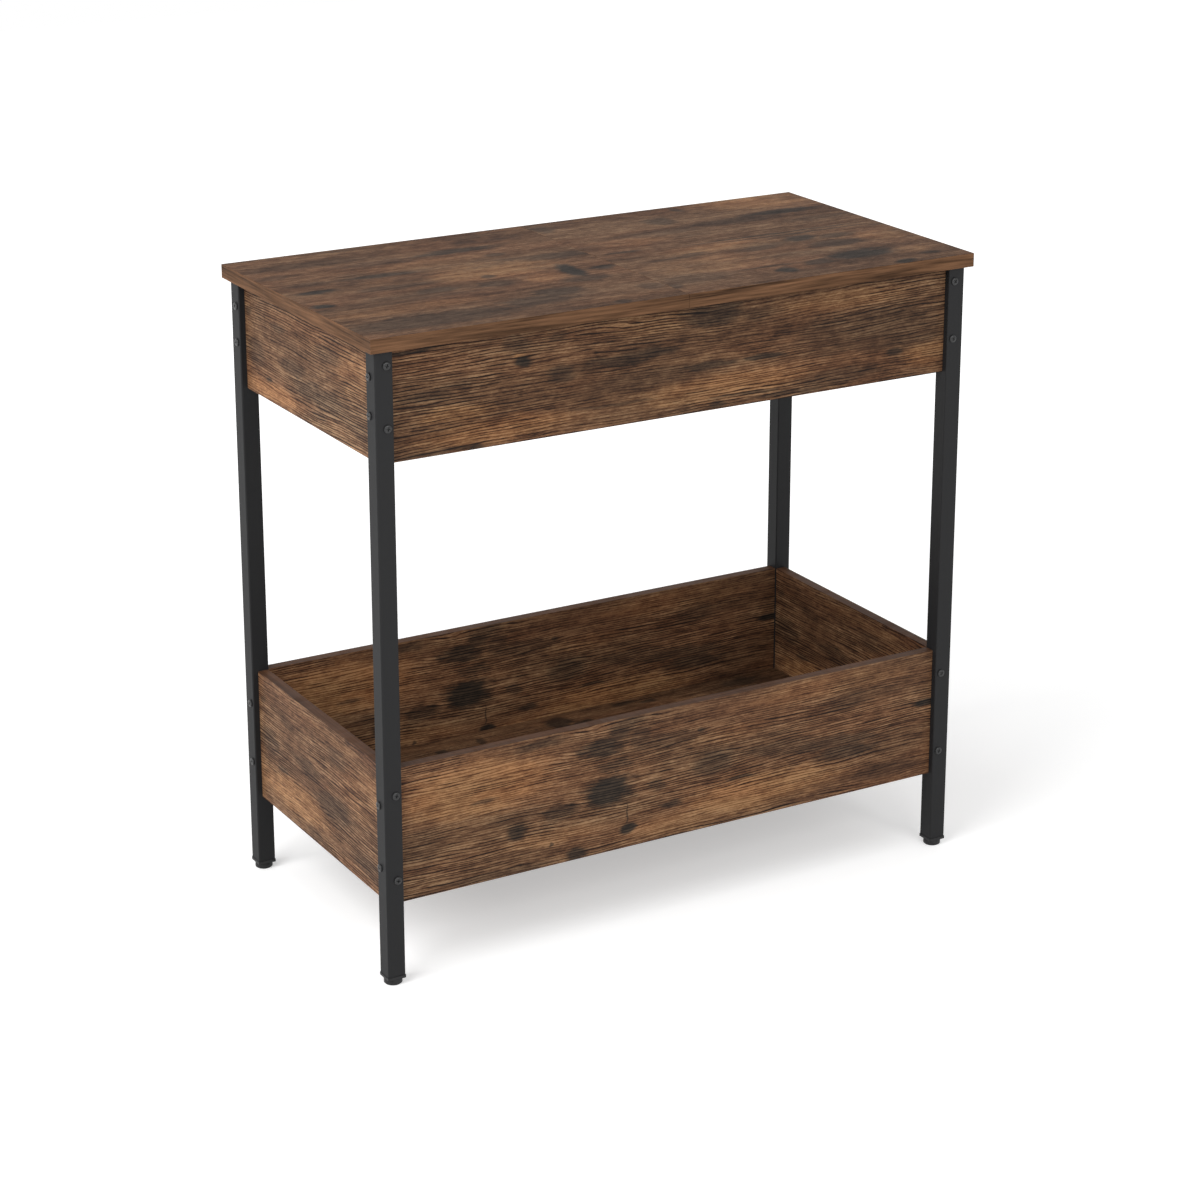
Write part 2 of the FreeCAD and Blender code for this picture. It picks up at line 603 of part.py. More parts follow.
LONG = "( leg_span_x - 2 * tube_size - 2 * board_end_gap )"
SHORT = "( leg_span_y - 2 * tube_size - 2 * board_end_gap )"
DIVIDER_DOWEL = "( bottom_recess + board_thick ) / 2 + divider_dowel_rise"
for box in ("upper", "lower"):
    dowel_spot = DIVIDER_DOWEL if box == "upper" else None
    nodes.append(make_panel(box + "_front_panel", box, "x", LONG, 180.0, "0", "- " + BOARD_Y, dowel_spot))
    nodes.append(make_panel(box + "_rear_panel", box, "x", LONG, 0.0, "0", BOARD_Y, dowel_spot))
    nodes.append(make_panel(box + "_left_panel", box, "y", SHORT, 90.0, "- " + BOARD_X, "0"))
    nodes.append(make_panel(box + "_right_panel", box, "y", SHORT, 270.0, BOARD_X, "0"))
nodes.append(make_bottom("upper_bottom_board", "%s + bottom_recess" % UPPER_BOTTOM, True))
nodes.append(make_bottom("lower_bottom_board", "%s + bottom_recess" % LOWER_BOTTOM, False))
nodes.append(make_divider())

for side_name, side in (("left", -1), ("right", 1)):
    nodes.append(make_lid("lid_" + side_name, side))
    outer_line, inner_line = batten_lines(side)
    nodes.append(make_batten("lid_%s_outer_batten" % side_name, outer_line))
    nodes.append(make_batten("lid_%s_inner_batten" % side_name, inner_line))

leg_screw = make_leg_screw()
divider_screw = make_wood_screw("divider_screw", "divider_screw_length")
batten_screw = make_wood_screw("batten_screw", "batten_screw_length")
cam = make_cam()
cam_bolt = make_cam_bolt()
dowel = make_dowel()

for box, bottom in (("upper", UPPER_BOTTOM), ("lower", LOWER_BOTTOM)):
    spots = []
    for corner_name, cx, cy in CORNERS:
        for height in screw_levels(box, "y"):
            spots.append((times(cx, BOARD_X), times(cy, "leg_span_y / 2"), height, facing(V(0, cy, 0))))
        for height in screw_levels(box, "x"):
            spots.append((times(cx, "leg_span_x / 2"), times(cy, BOARD_Y), height, facing(V(cx, 0, 0))))
    nodes.append(make_group(box + "_leg_screws", leg_screw, spots))
    level = "%s + bottom_recess" % bottom
    cam_spots = []
    bolt_spots = []
    for cy, yaw in ((1, 0.0), (-1, 180.0)):
        for step in (-1, 1):
            cam_spots.append(("%d * cam_pitch / 2" % step, times(cy, "( %s - cam_inset )" % INNER_Y), level,
                              FreeCAD.Rotation(V(0, 0, 1), yaw)))
            bolt_spots.append(("%d * cam_pitch / 2" % step, times(cy, INNER_Y), level + " + board_thick / 2",
                               facing(V(0, -cy, 0))))
    nodes.append(make_group(box + "_cam_locks", cam, cam_spots))
    nodes.append(make_group(box + "_cam_bolts", cam_bolt, bolt_spots))
    dowel_spots = []
    for cx in (-1, 1):
        for step in (-1, 1):
            dowel_spots.append((times(cx, INNER_X), "%d * dowel_pitch / 2" % step,
                                level + " + board_thick / 2", facing(V(-cx, 0, 0))))
    nodes.append(make_group(box + "_dowels", dowel, dowel_spots))

divider_level = "%s + %s" % (UPPER_MID, DIVIDER_DOWEL)
nodes.append(make_group("divider_dowels", dowel, [
    ("0", times(cy, INNER_Y), divider_level, facing(V(0, -cy, 0))) for cy in (-1, 1)]))
nodes.append(make_group("divider_screws", divider_screw, [
    ("0", "%d * divider_screw_pitch / 2" % step, "%s + bottom_recess + wood_screw_sink" % UPPER_BOTTOM,
     facing(V(0, 0, -1))) for step in (-1, 1)]))
for side_name, side in (("left", -1), ("right", 1)):
    spots = []
    for line in batten_lines(side):
        for step in (-1, 1):
            spots.append((line, "%d * batten_screw_pitch / 2" % step,
                          "%s - board_thick + wood_screw_sink" % BOX_TOP, facing(V(0, 0, -1))))
    nodes.append(make_group("lid_%s_batten_screws" % side_name, batten_screw, spots))

doc.recompute()

# Every object and every shape is checked before anything is written
for item in doc.Objects:
    bad = [word for word in item.State if "Invalid" in word or "Error" in word]
    if bad:
        raise ValueError("%s: %s" % (item.Label, bad))
for node in nodes:
    if node.Shape.isNull() or not node.Shape.isValid() or not node.Shape.Solids:
        raise ValueError("bad shape: " + node.Label)

os.makedirs("parts", exist_ok=True)
for node in nodes:
    node.Shape.exportStep("parts/%s.step" % node.Label)
print("nodes:", len(nodes))
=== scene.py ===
import math
import bmesh
import bpy
from mathutils import Matrix, Vector


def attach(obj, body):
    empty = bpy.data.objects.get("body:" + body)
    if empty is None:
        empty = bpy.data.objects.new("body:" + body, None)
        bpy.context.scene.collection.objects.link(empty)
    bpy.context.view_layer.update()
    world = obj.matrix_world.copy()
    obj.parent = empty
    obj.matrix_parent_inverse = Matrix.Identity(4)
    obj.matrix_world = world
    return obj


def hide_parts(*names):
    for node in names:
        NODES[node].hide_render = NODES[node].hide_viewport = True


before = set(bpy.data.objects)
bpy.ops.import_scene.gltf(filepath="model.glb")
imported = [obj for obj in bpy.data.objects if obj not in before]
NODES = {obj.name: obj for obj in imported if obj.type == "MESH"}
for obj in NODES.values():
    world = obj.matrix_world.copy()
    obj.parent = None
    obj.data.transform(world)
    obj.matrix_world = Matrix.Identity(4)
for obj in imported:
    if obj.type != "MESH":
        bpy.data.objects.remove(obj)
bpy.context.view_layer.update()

# Sizes in metres that the looks share with the table itself
LEG_FACE_X, LEG_FACE_Y = 0.3565, 0.175
LID_REACH_X, LID_REACH_Y = 0.3635, 0.182
HALF_LONG, HALF_SHORT = 0.3365, 0.155
UPPER_BOX_Z = (0.567, 0.685)
LOWER_BOX_Z = (0.090, 0.240)
SCREW_LINE = 0.013
UPPER_SCREWS_Y, UPPER_SCREWS_X = (0.605, 0.6695), (0.61725, 0.65725)
LOWER_SCREWS_Y, LOWER_SCREWS_X = (0.1189, 0.2135), (0.1312, 0.2012)
BATTEN_SCREWS_X, BATTEN_SCREW_Z = (0.3255, 0.018), 0.6733
DIVIDER_SCREW_Z = 0.5763
HIDDEN_SCREW_Y = 0.100
BATTEN_SCREW_LENGTH, DIVIDER_SCREW_LENGTH = 0.018, 0.034


# Wiring of shader nodes

# Sockets of a colour mix node
MIX_FACTOR, MIX_A, MIX_B, MIX_RESULT = 0, 6, 7, 2


def linear(red, green, blue):
    """A screen colour, 0 to 255, as the linear colour a shader takes."""
    out = []
    for part in (red, green, blue):
        c = part / 255.0
        out.append(c / 12.92 if c <= 0.04045 else ((c + 0.055) / 1.055) ** 2.4)
    return (out[0], out[1], out[2], 1.0)


class Wiring:
    """A node tree with short calls for the nodes that the finishes use."""

    def __init__(self, tree):
        self.tree = tree

    def node(self, kind, **settings):
        made = self.tree.nodes.new(kind)
        for key, setting in settings.items():
            setattr(made, key, setting)
        return made

    def feed(self, socket, source):
        if isinstance(source, bpy.types.NodeSocket):
            self.tree.links.new(source, socket)
        elif source is not None:
            socket.default_value = source

    def math(self, operation, a, b=None, c=None, clamp=False):
        made = self.node("ShaderNodeMath", operation=operation, use_clamp=clamp)
        for socket, source in zip(made.inputs, (a, b, c)):
            self.feed(socket, source)
        return made.outputs[0]

    def vector(self, operation, a, b=None, scale=None):
        made = self.node("ShaderNodeVectorMath", operation=operation)
        self.feed(made.inputs[0], a)
        if b is not None:
            self.feed(made.inputs[1], b)
        if scale is not None:
            self.feed(made.inputs["Scale"], scale)
        return made.outputs["Value" if operation == "LENGTH" else "Vector"]

    def split(self, source):
        made = self.node("ShaderNodeSeparateXYZ")
        self.feed(made.inputs[0], source)
        return made.outputs

    def join(self, x, y, z):
        made = self.node("ShaderNodeCombineXYZ")
        for socket, source in zip(made.inputs, (x, y, z)):
            self.feed(socket, source)
        return made.outputs[0]

    def noise(self, vector, scale, detail=3.0, roughness=0.55, distortion=0.0):
        made = self.node("ShaderNodeTexNoise")
        self.feed(made.inputs["Vector"], vector)
        self.feed(made.inputs["Scale"], scale)
        self.feed(made.inputs["Detail"], detail)
        self.feed(made.inputs["Roughness"], roughness)
        self.feed(made.inputs["Distortion"], distortion)
        return made.outputs

    def scaled_noise(self, place, scales, detail, roughness=0.55, distortion=0.0):
        """Noise whose cells to the metre differ along the axes."""
        return self.noise(self.vector("MULTIPLY", place, scales), 1.0, detail, roughness, distortion)

    def span(self, source, low, high, to_low=0.0, to_high=1.0, smooth=True):
        blend = "SMOOTHSTEP" if smooth else "LINEAR"
        made = self.node("ShaderNodeMapRange", interpolation_type=blend)
        for name, value in (("Value", source), ("From Min", low), ("From Max", high),
                            ("To Min", to_low), ("To Max", to_high)):
            self.feed(made.inputs[name], value)
        return made.outputs["Result"]

    def mix(self, factor, a, b, blend="MIX"):
        made = self.node("ShaderNodeMix", data_type="RGBA", blend_type=blend)
        self.feed(made.inputs[MIX_FACTOR], factor)
        self.feed(made.inputs[MIX_A], a)
        self.feed(made.inputs[MIX_B], b)
        return made.outputs[MIX_RESULT]

    def tint(self, share, colour, tint):
        """The colour, multiplied by a tint to this share."""
        return self.mix(share, colour, self.mix(1.0, colour, tint, "MULTIPLY"))

    def ramp(self, factor, stops):
        made = self.node("ShaderNodeValToRGB")
        self.feed(made.inputs[0], factor)
        marks = made.color_ramp.elements
        while len(marks) < len(stops):
            marks.new(0.5)
        for mark, (position, colour) in zip(marks, stops):
            mark.position = position
            mark.color = linear(*colour)
        return made.outputs[0]

    def bump(self, shader, height, strength, distance):
        made = self.node("ShaderNodeBump")
        self.feed(made.inputs["Strength"], strength)
        self.feed(made.inputs["Distance"], distance)
        self.feed(made.inputs["Height"], height)
        self.feed(shader.inputs["Normal"], made.outputs[0])

    def group(self, tree, **sources):
        made = self.node("ShaderNodeGroup", node_tree=tree)
        for name, source in sources.items():
            self.feed(made.inputs[name], source)
        return made


def cleared(owner):
    """The emptied node tree of a material or of the world."""
    owner.use_nodes = True
    owner.node_tree.nodes.clear()
    return Wiring(owner.node_tree)


def new_group(name, inputs, outputs):
    tree = bpy.data.node_groups.new(name, "ShaderNodeTree")
    for label, kind, value in inputs:
        socket = tree.interface.new_socket(label, in_out="INPUT", socket_type="NodeSocket" + kind)
        socket.default_value = value
    for label, kind in outputs:
        tree.interface.new_socket(label, in_out="OUTPUT", socket_type="NodeSocket" + kind)
    w = Wiring(tree)
    return tree, w, w.node("NodeGroupInput").outputs, w.node("NodeGroupOutput").inputs


# Printed wood: shared groups

# Distances at which a patch is full and gone, in shares of its reach
PATCH_CORE, PATCH_RIM = 0.55, 1.28

# Cells to the metre of the noise that pushes patches about, how far it pushes, and of their edges
PUSH_CELLS, PUSH_REACH = (26.0, 60.0, 1.0), (0.022, 0.010, 0.0)
ROUGH_CELLS = (60.0, 260.0, 1.0)

# Noise layers of the oak print: cells to the metre along and across the grain, detail, roughness
LAYERS = {
    "drift": (2.0, 7.0, 2.0, 0.55), "wobble": (15.0, 40.0, 2.0, 0.55),
    "fine": (24.0, 480.0, 3.0, 0.62), "broad": (9.0, 120.0, 3.0, 0.55),
    "band": (3.2, 26.0, 3.0, 0.55), "fibre": (190.0, 1300.0, 2.0, 0.70),
    "mottle": (60.0, 110.0, 4.0, 0.65), "strength": (4.0, 13.0, 2.0, 0.55),
    "sway": (7.0, 60.0, 2.0, 0.55), "gaps": (30.0, 190.0, 3.0, 0.60),
    "ruddy": (5.0, 20.0, 3.0, 0.55), "streak": (8.0, 80.0, 4.0, 0.60),
}
# How far the grain wanders sideways, in metres
DRIFT_REACH, WOBBLE_REACH = 0.020, 0.0024
# Drawn lines: lines to the metre, how far they sway, and where they start and are full
CLOSE_LINES, WIDE_LINES = (330.0, 22.0, 0.25, 0.80), (121.0, 15.0, 0.78, 0.99)
WIDE_WEIGHT, FADED, UNFADED = 0.30, 0.35, 0.65
# What each layer adds to the tone of the wood
FINE_WEIGHT, FINE_IN_LINES = 0.12, 0.16
TONE_WEIGHTS = {"broad": 0.10, "band": 0.18, "fibre": 0.21, "mottle": 0.18}
GLOW_WEIGHT, DRAWN_WEIGHT, TONE_BASE = 0.16, -0.48, 0.03
# Colours along the tone: wood, and charred wood; the charred colours also paint the shadow line
# under the top on the apron
BROWNS = [(0.04, (42, 29, 22)), (0.22, (82, 56, 40)), (0.40, (117, 83, 59)),
          (0.58, (149, 112, 81)), (0.80, (194, 155, 116))]
CHAR_AND_SHADOW_COLOURS = [(0.06, (26, 23, 21)), (0.42, (45, 39, 34)), (0.84, (86, 72, 59))]
CHAR_AND_SHADOW_SHARE, RUDDY_SHARE = 0.97, 0.55
RUDDY_TINT, GLOW_TINT = (1.10, 0.93, 0.86, 1.0), (1.14, 1.03, 0.88, 1.0)
CLOUD_CELLS = (7.5, 21.0, 1.0)
# What lines, fine grain and fibres add to the height of the surface
LINE_HEIGHT, FINE_HEIGHT, FIBRE_HEIGHT = -0.6, 0.5, 0.4

# Edge banding: cells to the metre of its lines and bands
EDGE_LINES, EDGE_BANDS = (14.0, 420.0, 420.0), (7.0, 90.0, 90.0)


def build_patch_group():
    """One soft-edged patch, knot or streak on a board; its edge follows the given roughness."""
    tree, w, given, result = new_group(
        "patch of print and painted shadow",
        [("Grain", "Vector", (0, 0, 0)), ("Rough", "Float", 0.5), ("Centre", "Vector", (0, 0, 0)),
         ("Reach", "Vector", (0.02, 0.01, 1)), ("Ragged", "Float", 0.5), ("Depth", "Float", 1.0)],
        [("Mask", "Float")])
    away = w.vector("SUBTRACT", given["Grain"], given["Centre"])
    distance = w.vector("LENGTH", w.vector("DIVIDE", away, given["Reach"]))
    rough = w.math("SUBTRACT", given["Rough"], 0.5)
    pushed = w.math("MULTIPLY_ADD", rough, given["Ragged"], distance)
    mask = w.span(pushed, PATCH_RIM, PATCH_CORE)
    w.feed(result["Mask"], w.math("MULTIPLY", mask, given["Depth"]))
    return tree


def build_edge_group():
    """Grain coordinates for patches, pushed about a little, and the roughness of their edges."""
    tree, w, given, result = new_group(
        "patch edges", [("Board", "Vector", (0, 0, 0))], [("Grain", "Vector"), ("Rough", "Float")])
    push = w.scaled_noise(given["Board"], PUSH_CELLS, 2.0)["Color"]
    push = w.vector("MULTIPLY", w.vector("SUBTRACT", push, (0.5, 0.5, 0.5)), PUSH_REACH)
    moved = w.vector("ADD", given["Board"], push)
    w.feed(result["Grain"], w.vector("MULTIPLY", moved, (1.0, 1.0, 0.0)))
    w.feed(result["Rough"], w.scaled_noise(given["Board"], ROUGH_CELLS, 4.0, 0.65)["Fac"])
    return tree


def build_oak_group():
    """Aged-oak print: straight drawn lines along the board, brown tones, charcoal clouds."""
    tree, w, given, result = new_group(
        "aged oak print",
        [("Board", "Vector", (0, 0, 0)), ("Start", "Vector", (0, 0, 0)), ("Patches", "Float", 0.0),
         ("Glow", "Float", 0.0), ("Clouds", "Float", 1.0), ("Lines", "Float", 1.0),
         ("Level", "Float", 1.0)],
        [("Color", "Color"), ("Roughness", "Float"), ("Height", "Float")])
    place = w.vector("ADD", given["Board"], given["Start"])
    along, across, deep = w.split(place)

    def stretched(layer, source):
        """A noise layer, drawn out along the grain."""
        cells_along, cells_across, detail, rough = LAYERS[layer]
        spread = w.join(w.math("MULTIPLY", along, cells_along),
                        w.math("MULTIPLY", source, cells_across), deep)
        return w.noise(spread, 1.0, detail, rough)["Fac"]

    bent = across
    for layer, reach in (("drift", DRIFT_REACH), ("wobble", WOBBLE_REACH)):
        aside = w.math("SUBTRACT", stretched(layer, across), 0.5)
        bent = w.math("MULTIPLY_ADD", aside, reach, bent)
    strength = w.span(stretched("strength", across), 0.36, 0.60, 0.50, 1.25)
    strength = w.math("MULTIPLY", strength, given["Lines"])

    def ruled(per_metre, push, low, high):
        """Drawn parallel lines that wander a little."""
        sway = w.math("MULTIPLY", stretched("sway", across), push)
        phase = w.math("MULTIPLY_ADD", bent, per_metre * 2.0 * math.pi, sway)
        return w.span(w.math("SINE", phase), low, high)

    gaps = w.span(stretched("gaps", bent), 0.36, 0.58)
    drawn = w.math("MULTIPLY", ruled(*CLOSE_LINES), w.math("MULTIPLY_ADD", gaps, UNFADED, FADED))
    wide = w.math("MULTIPLY", ruled(*WIDE_LINES), gaps)
    drawn = w.math("MULTIPLY_ADD", wide, WIDE_WEIGHT, drawn)
    drawn = w.math("MULTIPLY", drawn, strength)

    fine = stretched("fine", bent)
    fibre = stretched("fibre", bent)
    layers = {"broad": stretched("broad", bent), "band": stretched("band", bent),
              "fibre": fibre, "mottle": stretched("mottle", across)}
    tone = w.math("MULTIPLY", w.span(fine, 0.30, 0.70),
                  w.math("MULTIPLY_ADD", strength, FINE_IN_LINES, FINE_WEIGHT))
    for layer, weight in TONE_WEIGHTS.items():
        tone = w.math("MULTIPLY_ADD", w.span(layers[layer], 0.28, 0.72), weight, tone)
    tone = w.math("MULTIPLY_ADD", given["Glow"], GLOW_WEIGHT, tone)
    tone = w.math("MULTIPLY_ADD", drawn, DRAWN_WEIGHT, w.math("ADD", tone, TONE_BASE))

    ruddy = w.span(stretched("ruddy", across), 0.44, 0.66)
    brown = w.tint(w.math("MULTIPLY", ruddy, RUDDY_SHARE), w.ramp(tone, BROWNS), RUDDY_TINT)
    brown = w.tint(given["Glow"], brown, GLOW_TINT)
    cloud = w.span(w.scaled_noise(place, CLOUD_CELLS, 5.0, 0.62, 0.3)["Fac"], 0.50, 0.70)
    cloud = w.math("MULTIPLY", cloud, w.span(stretched("streak", across), 0.30, 0.62, 0.30, 1.0))
    cloud = w.math("MULTIPLY", cloud, given["Clouds"])
    dark = w.math("MAXIMUM", cloud, given["Patches"], clamp=True)
    dark = w.math("MULTIPLY", dark, CHAR_AND_SHADOW_SHARE, clamp=True)
    stained = w.mix(dark, brown, w.ramp(tone, CHAR_AND_SHADOW_COLOURS))
    w.feed(result["Color"], w.vector("SCALE", stained, scale=given["Level"]))

    w.feed(result["Roughness"], w.span(tone, 0.1, 0.7, 0.66, 0.52, smooth=False))
    height = w.math("MULTIPLY_ADD", fine, FINE_HEIGHT, w.math("MULTIPLY", fibre, FIBRE_HEIGHT))
    w.feed(result["Height"], w.math("MULTIPLY_ADD", drawn, LINE_HEIGHT, height))
    return tree


def build_edging_group():
    """Plain edge banding: even brown with faint lines."""
    tree, w, given, result = new_group(
        "edge banding",
        [("Board", "Vector", (0, 0, 0)), ("Tint", "Color", (0.1, 0.06, 0.04, 1)),
         ("Contrast", "Float", 0.3)],
        [("Color", "Color")])
    lines = w.scaled_noise(given["Board"], EDGE_LINES, 3.0, 0.6)["Fac"]
    bands = w.scaled_noise(given["Board"], EDGE_BANDS, 3.0, 0.6)["Fac"]
    level = w.math("ADD", w.math("MULTIPLY", lines, 0.5), w.math("MULTIPLY", bands, 0.5))
    contrast = w.math("MULTIPLY", given["Contrast"], 4.0)
    shade = w.math("MULTIPLY_ADD", w.math("SUBTRACT", level, 0.5), contrast, 1.0)
    w.feed(result["Color"], w.vector("SCALE", given["Tint"], scale=shade))
    return tree


PATCH = build_patch_group()
PATCH_EDGES = build_edge_group()
OAK = build_oak_group()
EDGING = build_edging_group()


# Finishes

PRINT_BUMP, PRINT_DEPTH = 0.22, 0.0004
GRAIN_DEPTH = 0.0002
EDGE_BROWN, LOWER_EDGE_BROWN, LID_EDGE_BROWN = (72, 48, 34), (72, 48, 33), (91, 65, 46)


def new_material(name):
    material = bpy.data.materials.new(name)
    w = cleared(material)
    shader = w.node("ShaderNodeBsdfPrincipled")
    output = w.node("ShaderNodeOutputMaterial")
    w.feed(output.inputs["Surface"], shader.outputs[0])
    return material, w, shader


def patch_mask(w, edges, spots):
    """The strongest of the spots at each point, or nothing."""
    mask = None
    for centre_run, centre_lift, reach_run, reach_lift, ragged, depth in spots:
        spot = w.group(PATCH, Grain=edges["Grain"], Rough=edges["Rough"],
                       Centre=(centre_run, centre_lift, 0.0), Reach=(reach_run, reach_lift, 1.0),
                       Ragged=ragged, Depth=depth).outputs["Mask"]
        mask = spot if mask is None else w.math("MAXIMUM", mask, spot)
    return mask


def board_finish(name, run, lift, start, spots=(), glows=(), clouds=1.0, lines=1.0, level=1.0,
                 gloss=0.12, edge_tint=EDGE_BROWN, edge_contrast=0.8):
    """Wood-print laminate on the two broad faces of a board, banding on its narrow faces.

    run and lift name the axes along and across the grain.
    """
    material, w, shader = new_material(name)
    axes = dict(zip("XYZ", w.split(w.node("ShaderNodeTexCoord").outputs["Object"])))
    third = ({"X", "Y", "Z"} - {run, lift}).pop()
    looks = w.split(w.node("ShaderNodeNewGeometry").outputs["True Normal"])
    facing = dict(zip("XYZ", [w.math("ABSOLUTE", part) for part in looks]))

    board = w.join(axes[run], axes[lift], 0.37)
    edges = w.group(PATCH_EDGES, Board=board).outputs
    oak = w.group(OAK, Board=board, Start=start, Patches=patch_mask(w, edges, spots),
                  Glow=patch_mask(w, edges, glows), Clouds=clouds, Lines=lines, Level=level)
    edge_place = w.mix(w.math("GREATER_THAN", facing[run], 0.5),
                       w.join(axes[run], axes[third], 0.2), w.join(axes[lift], axes[third], 0.7))
    band = w.group(EDGING, Board=edge_place, Tint=linear(*edge_tint), Contrast=edge_contrast)
    on_edge = w.math("LESS_THAN", facing[third], 0.5)

    w.feed(shader.inputs["Base Color"],
           w.mix(on_edge, oak.outputs["Color"], band.outputs["Color"]))
    w.feed(shader.inputs["Roughness"], oak.outputs["Roughness"])
    w.feed(shader.inputs["Specular IOR Level"], gloss)
    w.bump(shader, oak.outputs["Height"], PRINT_BUMP, PRINT_DEPTH)
    return material


def plain_finish(name, colour, roughness, metallic=0.0, grain=0.0, grain_size=1800.0,
                 specular=0.5):
    """One even colour with a fine orange-peel or moulding texture."""
    material, w, shader = new_material(name)
    w.feed(shader.inputs["Base Color"], linear(*colour))
    w.feed(shader.inputs["Roughness"], roughness)
    w.feed(shader.inputs["Metallic"], metallic)
    w.feed(shader.inputs["Specular IOR Level"], specular)
    if grain:
        place = w.node("ShaderNodeTexCoord").outputs["Object"]
        w.bump(shader, w.noise(place, grain_size, 2.0)["Fac"], grain, GRAIN_DEPTH)
    return material


POWDER = plain_finish("black powder coat", (25, 25, 26), 0.60, grain=0.30, specular=0.22)
SCREW_BLACK = plain_finish("black oxide screw", (27, 27, 28), 0.36, grain=0.1, specular=0.45)
PLASTIC = plain_finish("black moulded plastic", (26, 26, 27), 0.50, grain=0.2, grain_size=900.0,
                       specular=0.3)
ZINC = plain_finish("zinc plated steel", (188, 188, 184), 0.35, metallic=1.0)
CAST_ZINC = plain_finish("cast zinc", (150, 150, 150), 0.5, metallic=0.9, grain=0.3)
BEECH = plain_finish("beech dowel", (190, 150, 105), 0.7, grain=0.2)
DARK_BOARD = plain_finish("plain dark laminate", (62, 52, 45), 0.6, grain=0.2, grain_size=700.0)


# Spots of each board: dark patches, knots and streaks, and light glows; one thin dark line on the
# apron is painted shadow under the top's edge

def patches_on(spots, low, high, bottom, top):
    """Spots from shares of a board's length and of its height from the top, in its metres."""
    out = []
    for share_along, share_down, reach_along, reach_up, ragged, depth in spots:
        out.append((low + share_along * (high - low), top - share_down * (top - bottom),
                    reach_along, reach_up, ragged, depth))
    return out


# share along, share down, half length, half height, raggedness, depth
LOWER_FRONT_SPOTS = [
    (0.370, 0.53, 0.034, 0.020, 1.2, 1.00), (0.280, 0.60, 0.024, 0.011, 1.2, 0.65),
    (0.215, 0.57, 0.040, 0.010, 1.4, 0.35), (0.362, 0.19, 0.030, 0.012, 1.6, 0.80),
    (0.395, 0.11, 0.016, 0.010, 1.4, 0.65), (0.430, 0.17, 0.012, 0.014, 1.4, 0.50),
    (0.380, 0.34, 0.022, 0.007, 1.3, 0.55), (0.405, 0.04, 0.024, 0.006, 1.3, 0.60),
    (0.245, 0.06, 0.034, 0.006, 1.5, 0.55), (0.203, 0.69, 0.013, 0.009, 0.9, 0.85),
    (0.408, 0.855, 0.011, 0.0065, 0.7, 1.00), (0.404, 0.74, 0.0013, 0.014, 0.4, 0.75),
    (0.310, 0.97, 0.014, 0.010, 0.8, 0.90), (0.565, 0.51, 0.027, 0.017, 1.2, 0.62),
    (0.460, 0.57, 0.011, 0.007, 1.1, 0.55), (0.485, 0.745, 0.016, 0.005, 1.3, 0.75),
    (0.800, 0.56, 0.075, 0.008, 1.6, 0.60), (0.830, 0.66, 0.048, 0.010, 1.4, 0.70),
    (0.700, 0.50, 0.050, 0.009, 1.5, 0.45), (0.825, 0.25, 0.032, 0.012, 1.2, 0.35),
    (0.990, 0.41, 0.017, 0.005, 0.8, 1.00), (0.170, 0.97, 0.070, 0.006, 1.4, 0.45),
    (0.620, 0.665, 0.020, 0.0028, 1.0, 0.75), (0.145, 0.39, 0.018, 0.0024, 1.0, 0.60),
    (0.750, 0.93, 0.050, 0.012, 1.3, 0.32), (0.905, 0.89, 0.060, 0.009, 1.3, 0.38),
    (0.543, 0.22, 0.006, 0.0035, 0.8, 0.75), (0.262, 0.83, 0.003, 0.003, 0.5, 0.80),
    (0.480, 0.24, 0.040, 0.010, 1.5, 0.40), (0.030, 0.62, 0.030, 0.030, 1.6, 0.25),
]
LOWER_FRONT_GLOWS = [
    (0.130, 0.28, 0.095, 0.034, 1.0, 1.00), (0.670, 0.80, 0.110, 0.024, 1.0, 1.00),
    (0.520, 0.90, 0.080, 0.014, 1.0, 0.60), (0.800, 0.10, 0.110, 0.014, 1.0, 0.50),
    (0.270, 0.78, 0.060, 0.010, 1.0, 0.50), (0.600, 0.30, 0.050, 0.010, 1.0, 0.35),
]
APRON_SPOTS_AND_SHADOW = [
    (0.560, 0.13, 0.040, 0.014, 1.4, 0.70), (0.640, 0.17, 0.030, 0.008, 1.3, 0.35),
    (0.455, 0.385, 0.034, 0.007, 1.3, 0.70), (0.385, 0.41, 0.050, 0.007, 1.4, 0.65),
    (0.288, 0.45, 0.016, 0.010, 1.1, 0.60), (0.550, 0.585, 0.045, 0.0045, 1.1, 0.75),
    (0.655, 0.578, 0.032, 0.0032, 0.9, 0.85), (0.210, 0.12, 0.018, 0.014, 1.0, 0.50),
    (0.222, 0.285, 0.013, 0.0055, 0.7, 0.95), (0.055, 0.46, 0.032, 0.007, 1.4, 0.45),
    (0.110, 0.40, 0.024, 0.005, 1.3, 0.35), (0.850, 0.47, 0.120, 0.024, 1.6, 0.42),
    (0.900, 0.62, 0.080, 0.010, 1.4, 0.40), (0.142, 0.985, 0.011, 0.0045, 0.8, 0.80),
    (0.800, 0.87, 0.060, 0.010, 1.4, 0.50), (0.565, 0.96, 0.012, 0.004, 0.8, 0.65),
    # The thin dark line at 0.030 along and 0.05 down is painted shadow under the overhang of the
    # top, at the left end
    (0.450, 0.62, 0.110, 0.012, 1.5, 0.30), (0.030, 0.05, 0.040, 0.0020, 0.8, 0.80),
    (0.280, 0.12, 0.010, 0.006, 0.9, 0.45), (0.620, 0.90, 0.050, 0.0022, 0.9, 0.70),
    (0.700, 0.95, 0.060, 0.0025, 0.9, 0.60), (0.905, 0.74, 0.012, 0.0045, 0.9, 0.70),
    (0.080, 0.97, 0.060, 0.0025, 0.9, 0.55), (0.380, 0.80, 0.060, 0.0020, 0.9, 0.50),
]
